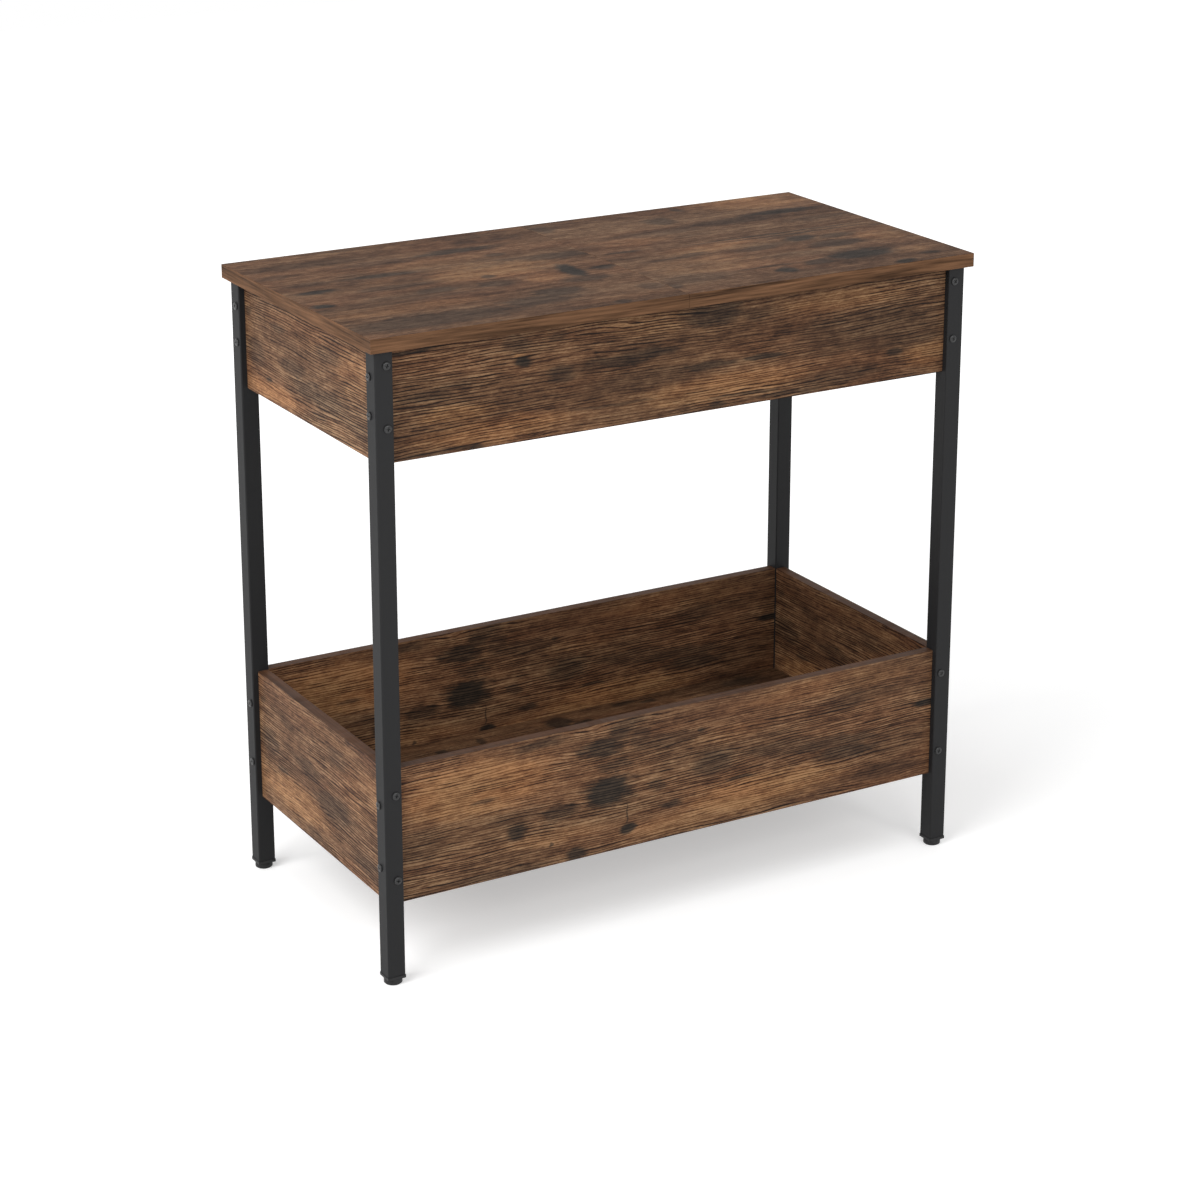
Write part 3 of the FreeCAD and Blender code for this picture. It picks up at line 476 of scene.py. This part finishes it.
APRON_GLOWS = [
    (0.110, 0.66, 0.050, 0.010, 1.0, 0.90), (0.170, 0.86, 0.100, 0.014, 1.0, 0.85),
    (0.580, 0.80, 0.110, 0.016, 1.0, 0.90), (0.965, 0.80, 0.030, 0.016, 0.9, 1.00),
    (0.800, 0.16, 0.090, 0.012, 1.0, 0.60), (0.450, 0.12, 0.060, 0.014, 1.0, 0.45),
    (0.218, 0.245, 0.009, 0.0028, 0.5, 1.00),
]
# share along from the rear end
SIDE_SPOTS = [
    (0.080, 0.60, 0.028, 0.014, 1.2, 0.50), (0.600, 0.70, 0.070, 0.013, 1.4, 0.48),
    (0.670, 0.29, 0.032, 0.010, 1.3, 0.36), (0.195, 0.80, 0.011, 0.003, 0.8, 0.75),
    (0.400, 0.57, 0.036, 0.009, 1.3, 0.42), (0.030, 0.25, 0.008, 0.005, 0.8, 0.60),
    (0.280, 0.27, 0.020, 0.006, 1.1, 0.40), (0.600, 0.86, 0.020, 0.006, 1.0, 0.40),
    (0.420, 0.63, 0.006, 0.002, 0.5, 0.70), (0.900, 0.80, 0.030, 0.010, 1.2, 0.30),
]
SIDE_GLOWS = [
    (0.230, 0.90, 0.070, 0.012, 1.0, 1.00), (0.860, 0.28, 0.055, 0.034, 1.0, 0.60),
    (0.450, 0.18, 0.100, 0.018, 1.0, 0.40),
]
LOWER_SIDE_SPOTS = [
    (0.080, 0.49, 0.030, 0.017, 1.2, 0.50), (0.400, 0.47, 0.036, 0.010, 1.3, 0.42),
    (0.620, 0.62, 0.052, 0.017, 1.4, 0.50), (0.650, 0.20, 0.024, 0.010, 1.3, 0.34),
    (0.200, 0.64, 0.013, 0.0035, 0.8, 0.60), (0.900, 0.86, 0.044, 0.014, 1.2, 0.38),
    (0.030, 0.20, 0.007, 0.005, 0.7, 0.55), (0.240, 0.24, 0.024, 0.007, 1.1, 0.32),
    (0.450, 0.95, 0.020, 0.008, 1.2, 0.34), (0.430, 0.42, 0.005, 0.002, 0.5, 0.70),
]
LOWER_SIDE_GLOWS = [
    (0.300, 0.78, 0.090, 0.022, 1.0, 1.00), (0.850, 0.32, 0.060, 0.036, 1.0, 0.45),
    (0.550, 0.08, 0.090, 0.010, 1.0, 0.40),
]
# share along the whole top from its left end, share down from its rear edge
TOP_SPOTS = [
    (0.120, 0.89, 0.125, 0.026, 1.5, 0.62), (0.300, 0.85, 0.050, 0.020, 1.4, 0.66),
    (0.350, 0.79, 0.032, 0.020, 1.3, 0.70), (0.425, 0.585, 0.013, 0.034, 0.9, 1.00),
    (0.474, 0.595, 0.019, 0.010, 1.0, 0.85), (0.420, 0.69, 0.032, 0.014, 1.3, 0.62),
    (0.450, 0.40, 0.046, 0.016, 1.3, 0.60), (0.378, 0.30, 0.014, 0.008, 1.0, 0.60),
    (0.335, 0.20, 0.055, 0.012, 1.3, 0.80), (0.200, 0.22, 0.055, 0.011, 1.4, 0.45),
    (0.170, 0.365, 0.050, 0.009, 1.2, 0.80), (0.060, 0.36, 0.034, 0.010, 1.3, 0.45),
    (0.045, 0.455, 0.024, 0.009, 0.9, 0.95), (0.021, 0.610, 0.013, 0.008, 0.8, 1.00),
    (0.160, 0.51, 0.050, 0.010, 1.3, 0.48), (0.200, 0.60, 0.024, 0.013, 1.1, 0.62),
    (0.290, 0.62, 0.024, 0.013, 1.2, 0.60), (0.305, 0.53, 0.009, 0.008, 0.8, 0.75),
    (0.400, 0.975, 0.012, 0.008, 0.8, 0.65), (0.480, 0.86, 0.018, 0.014, 1.1, 0.45),
    (0.100, 0.14, 0.090, 0.014, 1.4, 0.35), (0.030, 0.24, 0.030, 0.010, 1.2, 0.40),
    (0.517, 0.08, 0.013, 0.020, 1.0, 0.60), (0.705, 0.16, 0.018, 0.020, 1.0, 0.60),
    (0.767, 0.045, 0.007, 0.014, 0.8, 0.65), (0.905, 0.23, 0.060, 0.011, 1.3, 0.85),
    (0.810, 0.27, 0.060, 0.016, 1.4, 0.52), (0.800, 0.485, 0.130, 0.0022, 1.0, 0.85),
    (0.850, 0.512, 0.100, 0.0022, 1.0, 0.85), (0.550, 0.465, 0.020, 0.0035, 0.9, 0.75),
    (0.830, 0.57, 0.024, 0.013, 1.0, 0.85), (0.890, 0.595, 0.024, 0.010, 1.1, 0.60),
    (0.740, 0.62, 0.034, 0.011, 1.2, 0.55), (0.640, 0.585, 0.018, 0.005, 0.9, 0.60),
    (0.860, 0.68, 0.036, 0.016, 1.2, 0.68), (0.855, 0.83, 0.048, 0.022, 1.2, 0.95),
    (0.770, 0.86, 0.020, 0.012, 1.1, 0.75), (0.700, 0.895, 0.013, 0.013, 0.8, 0.95),
    (0.885, 0.975, 0.013, 0.009, 0.8, 0.90), (0.952, 0.92, 0.014, 0.006, 0.9, 0.65),
    (0.680, 0.835, 0.045, 0.0035, 0.9, 0.65), (0.560, 0.85, 0.050, 0.020, 1.4, 0.40),
    (0.660, 0.30, 0.060, 0.016, 1.4, 0.40), (0.600, 0.61, 0.050, 0.004, 1.1, 0.50),
    (0.505, 0.90, 0.010, 0.012, 0.9, 0.60), (0.940, 0.36, 0.050, 0.012, 1.3, 0.35),
]
TOP_GLOWS = [
    (0.330, 0.47, 0.085, 0.034, 1.2, 1.00), (0.370, 0.62, 0.024, 0.020, 1.0, 0.75),
    (0.110, 0.74, 0.100, 0.018, 1.2, 0.80), (0.260, 0.30, 0.080, 0.018, 1.2, 0.45),
    (0.180, 0.43, 0.040, 0.010, 1.1, 0.60), (0.905, 0.07, 0.075, 0.034, 1.2, 1.00),
    (0.700, 0.55, 0.075, 0.016, 1.2, 0.85), (0.620, 0.72, 0.070, 0.034, 1.2, 0.60),
    (0.950, 0.66, 0.030, 0.022, 1.0, 0.70), (0.600, 0.36, 0.060, 0.020, 1.2, 0.55),
    (0.930, 0.86, 0.030, 0.014, 1.0, 0.70), (0.420, 0.94, 0.060, 0.012, 1.0, 0.40),
]
# share along the bottom board from its left end, share down from its rear edge
BOTTOM_SPOTS = [
    (0.290, 0.11, 0.010, 0.008, 0.9, 0.85), (0.372, 0.09, 0.006, 0.010, 0.9, 0.70),
    (0.530, 0.08, 0.018, 0.017, 1.1, 0.85), (0.570, 0.12, 0.013, 0.009, 1.0, 0.85),
    (0.670, 0.03, 0.018, 0.006, 1.0, 0.75), (0.715, 0.05, 0.012, 0.006, 0.9, 0.85),
    (0.910, 0.06, 0.034, 0.013, 1.2, 0.70), (0.480, 0.13, 0.016, 0.006, 1.1, 0.45),
    (0.300, 0.62, 0.050, 0.018, 1.2, 0.60), (0.640, 0.45, 0.070, 0.014, 1.3, 0.60),
    (0.820, 0.72, 0.045, 0.020, 1.2, 0.65), (0.120, 0.40, 0.030, 0.012, 1.1, 0.55),
]

# How bright each print is against the others
APRON_LEVEL, SIDE_LEVEL, TOP_LEVEL = 0.50, 0.57, 0.44
LOWER_LEVEL, LOWER_SIDE_LEVEL, BOTTOM_LEVEL = 0.54, 0.68, 0.52


def long_print(name, start, spots, glows, heights, **look):
    """A board along the table; heights are those of its lower and upper edges."""
    reach = (-HALF_LONG, HALF_LONG) + heights
    return board_finish(name, "X", "Z", start, patches_on(spots, *reach),
                        patches_on(glows, *reach), **look)


def short_print(name, start, spots, glows, heights, **look):
    """A board across the table, its spots placed from the rear end."""
    reach = (HALF_SHORT, -HALF_SHORT) + heights
    return board_finish(name, "Y", "Z", start, patches_on(spots, *reach),
                        patches_on(glows, *reach), **look)


def top_print(name, start, side):
    """One half of the top, with the spots whose centres are on it."""
    def own(spots):
        placed = patches_on(spots, -LID_REACH_X, LID_REACH_X, -LID_REACH_Y, LID_REACH_Y)
        return [spot for spot in placed if side * spot[0] > 0]
    return board_finish(name, "X", "Y", start, own(TOP_SPOTS), own(TOP_GLOWS), clouds=0.50,
                        lines=0.30, level=TOP_LEVEL, gloss=0.06, edge_tint=LID_EDGE_BROWN,
                        edge_contrast=1.3)


APRON_PRINT = long_print(
    "apron print", (0.31, 0.12, 0.0), APRON_SPOTS_AND_SHADOW, APRON_GLOWS, UPPER_BOX_Z,
    clouds=0.25, level=APRON_LEVEL)
LOWER_PRINT = long_print(
    "lower long board print", (1.73, 0.44, 0.0), LOWER_FRONT_SPOTS, LOWER_FRONT_GLOWS, LOWER_BOX_Z,
    clouds=0.12, level=LOWER_LEVEL, edge_tint=LOWER_EDGE_BROWN)
SIDE_PRINT = short_print(
    "upper side print", (2.62, 0.91, 0.0), SIDE_SPOTS, SIDE_GLOWS, UPPER_BOX_Z,
    clouds=0.15, lines=1.2, level=SIDE_LEVEL)
LOWER_SIDE_PRINT = short_print(
    "lower side print", (3.38, 1.37, 0.0), LOWER_SIDE_SPOTS, LOWER_SIDE_GLOWS, LOWER_BOX_Z,
    clouds=0.15, lines=1.2, level=LOWER_SIDE_LEVEL, edge_tint=LOWER_EDGE_BROWN)
BOTTOM_PRINT = board_finish(
    "bottom board print", "X", "Y", (4.45, 2.11, 0.0),
    patches_on(BOTTOM_SPOTS, -HALF_LONG, HALF_LONG, -HALF_SHORT, HALF_SHORT),
    clouds=0.45, level=BOTTOM_LEVEL)
DIVIDER_PRINT = board_finish("divider print", "Y", "Z", (5.15, 2.81, 0.0), clouds=0.6,
                             level=LOWER_LEVEL)
TOP_LEFT_PRINT = top_print("left top print", (6.07, 3.33, 0.0), -1)
TOP_RIGHT_PRINT = top_print("right top print", (7.21, 4.02, 0.0), 1)

FINISHES = {
    "lid_left": TOP_LEFT_PRINT, "lid_right": TOP_RIGHT_PRINT,
    "upper_front_panel": APRON_PRINT, "upper_rear_panel": APRON_PRINT,
    "upper_left_panel": SIDE_PRINT, "upper_right_panel": SIDE_PRINT,
    "lower_front_panel": LOWER_PRINT, "lower_rear_panel": LOWER_PRINT,
    "lower_left_panel": LOWER_SIDE_PRINT, "lower_right_panel": LOWER_SIDE_PRINT,
    "upper_bottom_board": BOTTOM_PRINT, "lower_bottom_board": BOTTOM_PRINT,
    "upper_divider": DIVIDER_PRINT,
    "upper_cam_locks": CAST_ZINC, "lower_cam_locks": CAST_ZINC,
    "upper_cam_bolts": ZINC, "lower_cam_bolts": ZINC,
    "upper_dowels": BEECH, "lower_dowels": BEECH, "divider_dowels": BEECH,
    "divider_screws": SCREW_BLACK,
    "upper_leg_screws": SCREW_BLACK, "lower_leg_screws": SCREW_BLACK,
    "lid_left_batten_screws": SCREW_BLACK, "lid_right_batten_screws": SCREW_BLACK,
}
# Finishes of all nodes whose names start so
FINISHES_BY_START = {
    "leg_": POWDER, "top_plug_": PLASTIC, "foot_insert_": PLASTIC, "foot_pad_": PLASTIC,
    "foot_stud_": ZINC, "lid_left_inner": DARK_BOARD, "lid_left_outer": DARK_BOARD,
    "lid_right_inner": DARK_BOARD, "lid_right_outer": DARK_BOARD,
}


def finish_of(node):
    if node in FINISHES:
        return FINISHES[node]
    for start, material in FINISHES_BY_START.items():
        if node.startswith(start):
            return material
    raise ValueError("no finish for " + node)


for node_name, piece in NODES.items():
    piece.data.materials.clear()
    piece.data.materials.append(finish_of(node_name))


# Screws: heads with a cross recess, set out by one node tree

SHARP_ANGLE = math.radians(28.0)
# The recesses turn by a random angle up to this, in radians
MOST_TURN = 1.5
DOWN = (0, 0, -1)


def linked(name, data):
    """A new object in the scene's collection."""
    made = bpy.data.objects.new(name, data)
    bpy.context.collection.objects.link(made)
    return made


def closed_mesh(shape, name):
    """A mesh from a closed shape, its faces turned outwards."""
    bmesh.ops.recalc_face_normals(shape, faces=shape.faces[:])
    mesh = bpy.data.meshes.new(name)
    shape.to_mesh(mesh)
    shape.free()
    return mesh


def applied(holder):
    """The object's mesh after its modifiers."""
    bpy.context.view_layer.update()
    graph = bpy.context.evaluated_depsgraph_get()
    return bpy.data.meshes.new_from_object(holder.evaluated_get(graph))


def lathe(name, outline, steps=40):
    """A closed turned mesh; the outline of radius and height starts and ends on the axis."""
    shape = bmesh.new()
    rings = []
    for radius, height in outline:
        if radius == 0.0:
            rings.append([shape.verts.new((0.0, 0.0, height))])
            continue
        ring = []
        for i in range(steps):
            angle = 2.0 * math.pi * i / steps
            point = (radius * math.cos(angle), radius * math.sin(angle), height)
            ring.append(shape.verts.new(point))
        rings.append(ring)
    for low, high in zip(rings, rings[1:]):
        for i in range(steps):
            j = (i + 1) % steps
            corners = [low[i % len(low)], low[j % len(low)],
                       high[j % len(high)], high[i % len(high)]]
            shape.faces.new(list(dict.fromkeys(corners)))
    return closed_mesh(shape, name)


def cross(name, reach, half, top, bottom, shrink):
    """A closed cross-shaped plug that narrows downwards."""
    outline = [(half, half), (half, reach), (-half, reach), (-half, half),
               (-reach, half), (-reach, -half), (-half, -half), (-half, -reach),
               (half, -reach), (half, -half), (reach, -half), (reach, half)]
    shape = bmesh.new()
    upper = [shape.verts.new((x, y, top)) for x, y in outline]
    lower = [shape.verts.new((x * shrink, y * shrink, bottom)) for x, y in outline]
    shape.faces.new(upper)
    shape.faces.new(lower)
    for i in range(len(outline)):
        j = (i + 1) % len(outline)
        shape.faces.new([upper[i], upper[j], lower[j], lower[i]])
    return closed_mesh(shape, name)


def carve(name, blank, cutter):
    """The blank without the cutter, smooth but for its sharp edges."""
    holder = linked(name, blank)
    tool = linked(name + " tool", cutter)
    step = holder.modifiers.new("recess", "BOOLEAN")
    step.operation = "DIFFERENCE"
    step.object = tool
    step.solver = "EXACT"
    mesh = applied(holder)
    bpy.data.objects.remove(tool)
    bpy.data.objects.remove(holder)
    for face in mesh.polygons:
        face.use_smooth = True
    mesh.set_sharp_from_angle(angle=SHARP_ANGLE)
    return mesh


def pan_screw():
    """Pan head 8.5 mm wide and 2 mm high over a 4 mm shank 48 mm long."""
    outline = [(0.0, -0.048), (0.0012, -0.0478), (0.0020, -0.0440), (0.0020, -0.0002),
               (0.0020, 0.0), (0.00415, 0.0), (0.00425, 0.0002), (0.00425, 0.00085),
               (0.00415, 0.00125), (0.00385, 0.00158), (0.0033, 0.00180), (0.0025, 0.00192),
               (0.0013, 0.0020), (0.0, 0.0020)]
    recess = cross("cross recess", reach=0.0026, half=0.00055, top=0.0026, bottom=0.0006,
                   shrink=0.60)
    return carve("pan head screw", lathe("pan blank", outline), recess)


def flat_screw(name, length):
    """Countersunk head 7 mm wide over a 3.6 mm shank."""
    outline = [(0.0, -length), (0.0006, -length + 0.0002), (0.0018, -length + 0.005),
               (0.0018, -0.0022), (0.0033, -0.0004), (0.0035, -0.0002), (0.0035, 0.0), (0.0, 0.0)]
    recess = cross(name + " recess", reach=0.0019, half=0.00045, top=0.0005, bottom=-0.0013,
                   shrink=0.5)
    return carve(name, lathe(name + " blank", outline, steps=32), recess)


def build_set_out():
    """Copies of a fastener on points; each point's facing attribute gives the way it looks."""
    tree = bpy.data.node_groups.new("set out fasteners", "GeometryNodeTree")
    sockets = {}
    for label, kind in (("Points", "Geometry"), ("Fastener", "Object"), ("Finish", "Material"),
                        ("Turn", "Float")):
        sockets[label] = tree.interface.new_socket(
            label, in_out="INPUT", socket_type="NodeSocket" + kind).identifier
    tree.interface.new_socket("Fasteners", in_out="OUTPUT", socket_type="NodeSocketGeometry")
    given = tree.nodes.new("NodeGroupInput").outputs
    result = tree.nodes.new("NodeGroupOutput").inputs
    facing = tree.nodes.new("GeometryNodeInputNamedAttribute")
    facing.data_type = "FLOAT_VECTOR"
    facing.inputs["Name"].default_value = "facing"
    align = tree.nodes.new("FunctionNodeAlignRotationToVector")
    align.axis = "Z"
    turn = tree.nodes.new("FunctionNodeRandomValue")
    turn.data_type = "FLOAT"
    most = next(s for s in turn.inputs if s.name == "Max" and s.type == "VALUE")
    angle = next(s for s in turn.outputs if s.type == "VALUE")
    spin = tree.nodes.new("FunctionNodeAxisAngleToRotation")
    spin.inputs["Axis"].default_value = (0, 0, 1)
    both = tree.nodes.new("FunctionNodeRotateRotation")
    both.rotation_space = "LOCAL"
    source = tree.nodes.new("GeometryNodeObjectInfo")
    copies = tree.nodes.new("GeometryNodeInstanceOnPoints")
    real = tree.nodes.new("GeometryNodeRealizeInstances")
    finish = tree.nodes.new("GeometryNodeSetMaterial")
    for start, end in (
            (given["Points"], copies.inputs["Points"]),
            (given["Fastener"], source.inputs["Object"]),
            (source.outputs["Geometry"], copies.inputs["Instance"]),
            (facing.outputs["Attribute"], align.inputs["Vector"]),
            (given["Turn"], most),
            (angle, spin.inputs["Angle"]),
            (align.outputs["Rotation"], both.inputs["Rotation"]),
            (spin.outputs["Rotation"], both.inputs["Rotate By"]),
            (both.outputs["Rotation"], copies.inputs["Rotation"]),
            (copies.outputs["Instances"], real.inputs["Geometry"]),
            (real.outputs["Geometry"], finish.inputs["Geometry"]),
            (given["Finish"], finish.inputs["Material"]),
            (finish.outputs["Geometry"], result["Fasteners"])):
        tree.links.new(start, end)
    return tree, sockets


SET_OUT, SET_OUT_INPUTS = build_set_out()


def set_out(name, mesh, spots, finish):
    """A piece of one mesh: a copy at every spot, each a position and the way the head looks."""
    points = bpy.data.meshes.new(name + " points")
    points.from_pydata([spot for spot, way in spots], [], [])
    ways = points.attributes.new("facing", "FLOAT_VECTOR", "POINT")
    for item, (spot, way) in zip(ways.data, spots):
        item.vector = way
    master = linked(name + " master", mesh)
    holder = linked(name + " holder", points)
    step = holder.modifiers.new("set out", "NODES")
    step.node_group = SET_OUT
    step[SET_OUT_INPUTS["Fastener"]] = master
    step[SET_OUT_INPUTS["Finish"]] = finish
    step[SET_OUT_INPUTS["Turn"]] = MOST_TURN
    whole = applied(holder)
    holder.modifiers.clear()
    bpy.data.objects.remove(holder)
    bpy.data.objects.remove(master)
    if "facing" in whole.attributes:
        whole.attributes.remove(whole.attributes["facing"])
    return linked(name, whole)


def leg_screw_spots(levels_y, levels_x):
    """Screws in all four legs: at levels_y in the front and rear faces, at levels_x in the ends."""
    spots = []
    for side_x in (-1, 1):
        for side_y in (-1, 1):
            for level in levels_y:
                spots.append(((side_x * (LEG_FACE_X - SCREW_LINE), side_y * LEG_FACE_Y, level),
                              (0, side_y, 0)))
            for level in levels_x:
                spots.append(((side_x * LEG_FACE_X, side_y * (LEG_FACE_Y - SCREW_LINE), level),
                              (side_x, 0, 0)))
    return spots


def hidden_screw_spots(lines, level):
    """Screws that look down, a front and a rear one on each line."""
    return [((line, end * HIDDEN_SCREW_Y, level), DOWN) for line in lines for end in (-1, 1)]


PAN = pan_screw()
FLAT_SHORT = flat_screw("batten screw", BATTEN_SCREW_LENGTH)
FLAT_LONG = flat_screw("divider screw", DIVIDER_SCREW_LENGTH)

SCREW_SETS = [
    ("upper_leg_screw_set", PAN, leg_screw_spots(UPPER_SCREWS_Y, UPPER_SCREWS_X),
     "frame", "upper_leg_screws"),
    ("lower_leg_screw_set", PAN, leg_screw_spots(LOWER_SCREWS_Y, LOWER_SCREWS_X),
     "frame", "lower_leg_screws"),
    ("divider_screw_set", FLAT_LONG, hidden_screw_spots((0.0,), DIVIDER_SCREW_Z),
     "frame", "divider_screws"),
]
for side_name, side in (("left", -1), ("right", 1)):
    lines = [side * line for line in BATTEN_SCREWS_X]
    SCREW_SETS.append(("lid_%s_batten_screw_set" % side_name, FLAT_SHORT,
                       hidden_screw_spots(lines, BATTEN_SCREW_Z),
                       side_name + "_lid", "lid_%s_batten_screws" % side_name))
for piece_name, mesh, spots, body, node in SCREW_SETS:
    piece = set_out(piece_name, mesh, spots, SCREW_BLACK)
    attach(piece, body)
    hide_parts(node)


# Studio: floor, backdrop and lamps

FLOOR_REACH, FLOOR_WHITE = 6.0, 0.80
# The floor's own glow, how strong it is near the table and far from it, and where it changes
GLOW_NEAR, GLOW_FAR = 0.37, 0.75
GLOW_START, GLOW_END = 0.5, 2.4
# Light from all around, and the white that the camera sees there
AMBIENT, BACKDROP = 0.50, 1.0


def seen_straight(w):
    """One for what the camera or a reflection sees, nought for what lights the scene."""
    rays = w.node("ShaderNodeLightPath").outputs
    mirrored = w.math("MAXIMUM", rays["Is Glossy Ray"], rays["Is Transmission Ray"])
    return w.math("MAXIMUM", rays["Is Camera Ray"], mirrored)


def build_floor():
    """A white floor with a glow that grows away from the table; from below it is clear."""
    mesh = bpy.data.meshes.new("studio floor")
    shape = bmesh.new()
    bmesh.ops.create_grid(shape, x_segments=1, y_segments=1, size=FLOOR_REACH)
    shape.to_mesh(mesh)
    shape.free()
    floor = linked("studio_floor", mesh)
    material = bpy.data.materials.new("white studio floor")
    w = cleared(material)
    matte = w.node("ShaderNodeBsdfDiffuse")
    w.feed(matte.inputs["Color"], (FLOOR_WHITE, FLOOR_WHITE, FLOOR_WHITE, 1))
    away = w.vector("LENGTH", w.node("ShaderNodeTexCoord").outputs["Object"])
    strength = w.span(away, GLOW_START, GLOW_END, GLOW_NEAR, GLOW_FAR)
    glow = w.node("ShaderNodeEmission")
    w.feed(glow.inputs["Strength"], w.math("MULTIPLY", seen_straight(w), strength))
    both = w.node("ShaderNodeAddShader")
    w.feed(both.inputs[0], matte.outputs[0])
    w.feed(both.inputs[1], glow.outputs[0])
    clear = w.node("ShaderNodeMixShader")
    w.feed(clear.inputs[0], w.node("ShaderNodeNewGeometry").outputs["Backfacing"])
    w.feed(clear.inputs[1], both.outputs[0])
    w.feed(clear.inputs[2], w.node("ShaderNodeBsdfTransparent").outputs[0])
    output = w.node("ShaderNodeOutputMaterial")
    w.feed(output.inputs["Surface"], clear.outputs[0])
    mesh.materials.append(material)
    return floor


def build_world():
    world = bpy.data.worlds.new("soft studio")
    bpy.context.scene.world = world
    w = cleared(world)
    choose = w.node("ShaderNodeMixShader")
    w.feed(choose.inputs[0], seen_straight(w))
    for socket, strength in zip(choose.inputs[1:], (AMBIENT, BACKDROP)):
        light = w.node("ShaderNodeBackground")
        w.feed(light.inputs["Color"], (1, 1, 1, 1))
        w.feed(light.inputs["Strength"], strength)
        w.feed(socket, light.outputs[0])
    output = w.node("ShaderNodeOutputWorld")
    w.feed(output.inputs["Surface"], choose.outputs[0])


def softbox(name, position, aim, width, height, power):
    """A rectangular lamp at a position, turned to what it aims at."""
    lamp = bpy.data.lights.new(name, "AREA")
    lamp.shape = "RECTANGLE"
    lamp.size = width
    lamp.size_y = height
    lamp.energy = power
    holder = linked(name, lamp)
    holder.location = position
    holder.rotation_mode = "QUATERNION"
    holder.rotation_quaternion = (Vector(aim) - Vector(position)).to_track_quat("-Z", "Y")
    return holder


floor = build_floor()
build_world()
key = softbox("left softbox", position=(-2.4, -0.6, 2.2), aim=(0, 0, 0.3),
              width=2.4, height=2.2, power=80.0)
front = softbox("front softbox", position=(0.2, -3.0, 1.8), aim=(0, 0, 0.35),
                width=2.0, height=1.6, power=38.0)
over = softbox("overhead softbox", position=(-0.3, 0.3, 3.0), aim=(0, 0, 0.4),
               width=2.0, height=2.0, power=13.0)


# Camera: solved from the photo's board and leg edges

# Angles in degrees; focal length and image centre in pixels of the photo
AZIMUTH, ELEVATION = 30.1756, 17.1737
PHOTO_SIZE, FOCAL, CENTRE_X, CENTRE_Y = 1200.0, 3000.0, 604.4, 456.0
# The table's origin from the camera, in millimetres to the right, down and ahead
OFFSET = (-4.18, 455.97, 3439.19)
SENSOR = 36.0


def build_camera():
    az, el = math.radians(AZIMUTH), math.radians(ELEVATION)
    back = Vector((-math.sin(az) * math.cos(el), -math.cos(az) * math.cos(el), math.sin(el)))
    right = Vector((0, 0, 1)).cross(back).normalized()
    up = back.cross(right)
    axes = Matrix((right, up, back)).transposed()
    position = -(right * OFFSET[0] - up * OFFSET[1] - back * OFFSET[2]) / 1000.0
    data = bpy.data.cameras.new("photo camera")
    data.sensor_width = SENSOR
    data.lens = FOCAL / PHOTO_SIZE * SENSOR
    data.shift_x = -(CENTRE_X - PHOTO_SIZE / 2.0) / PHOTO_SIZE
    data.shift_y = (CENTRE_Y - PHOTO_SIZE / 2.0) / PHOTO_SIZE
    data.clip_end = 50.0
    camera = linked("photo_camera", data)
    camera.matrix_world = Matrix.Translation(position) @ axes.to_4x4()
    bpy.context.scene.camera = camera


build_camera()
bpy.context.scene.view_settings.view_transform = "Standard"
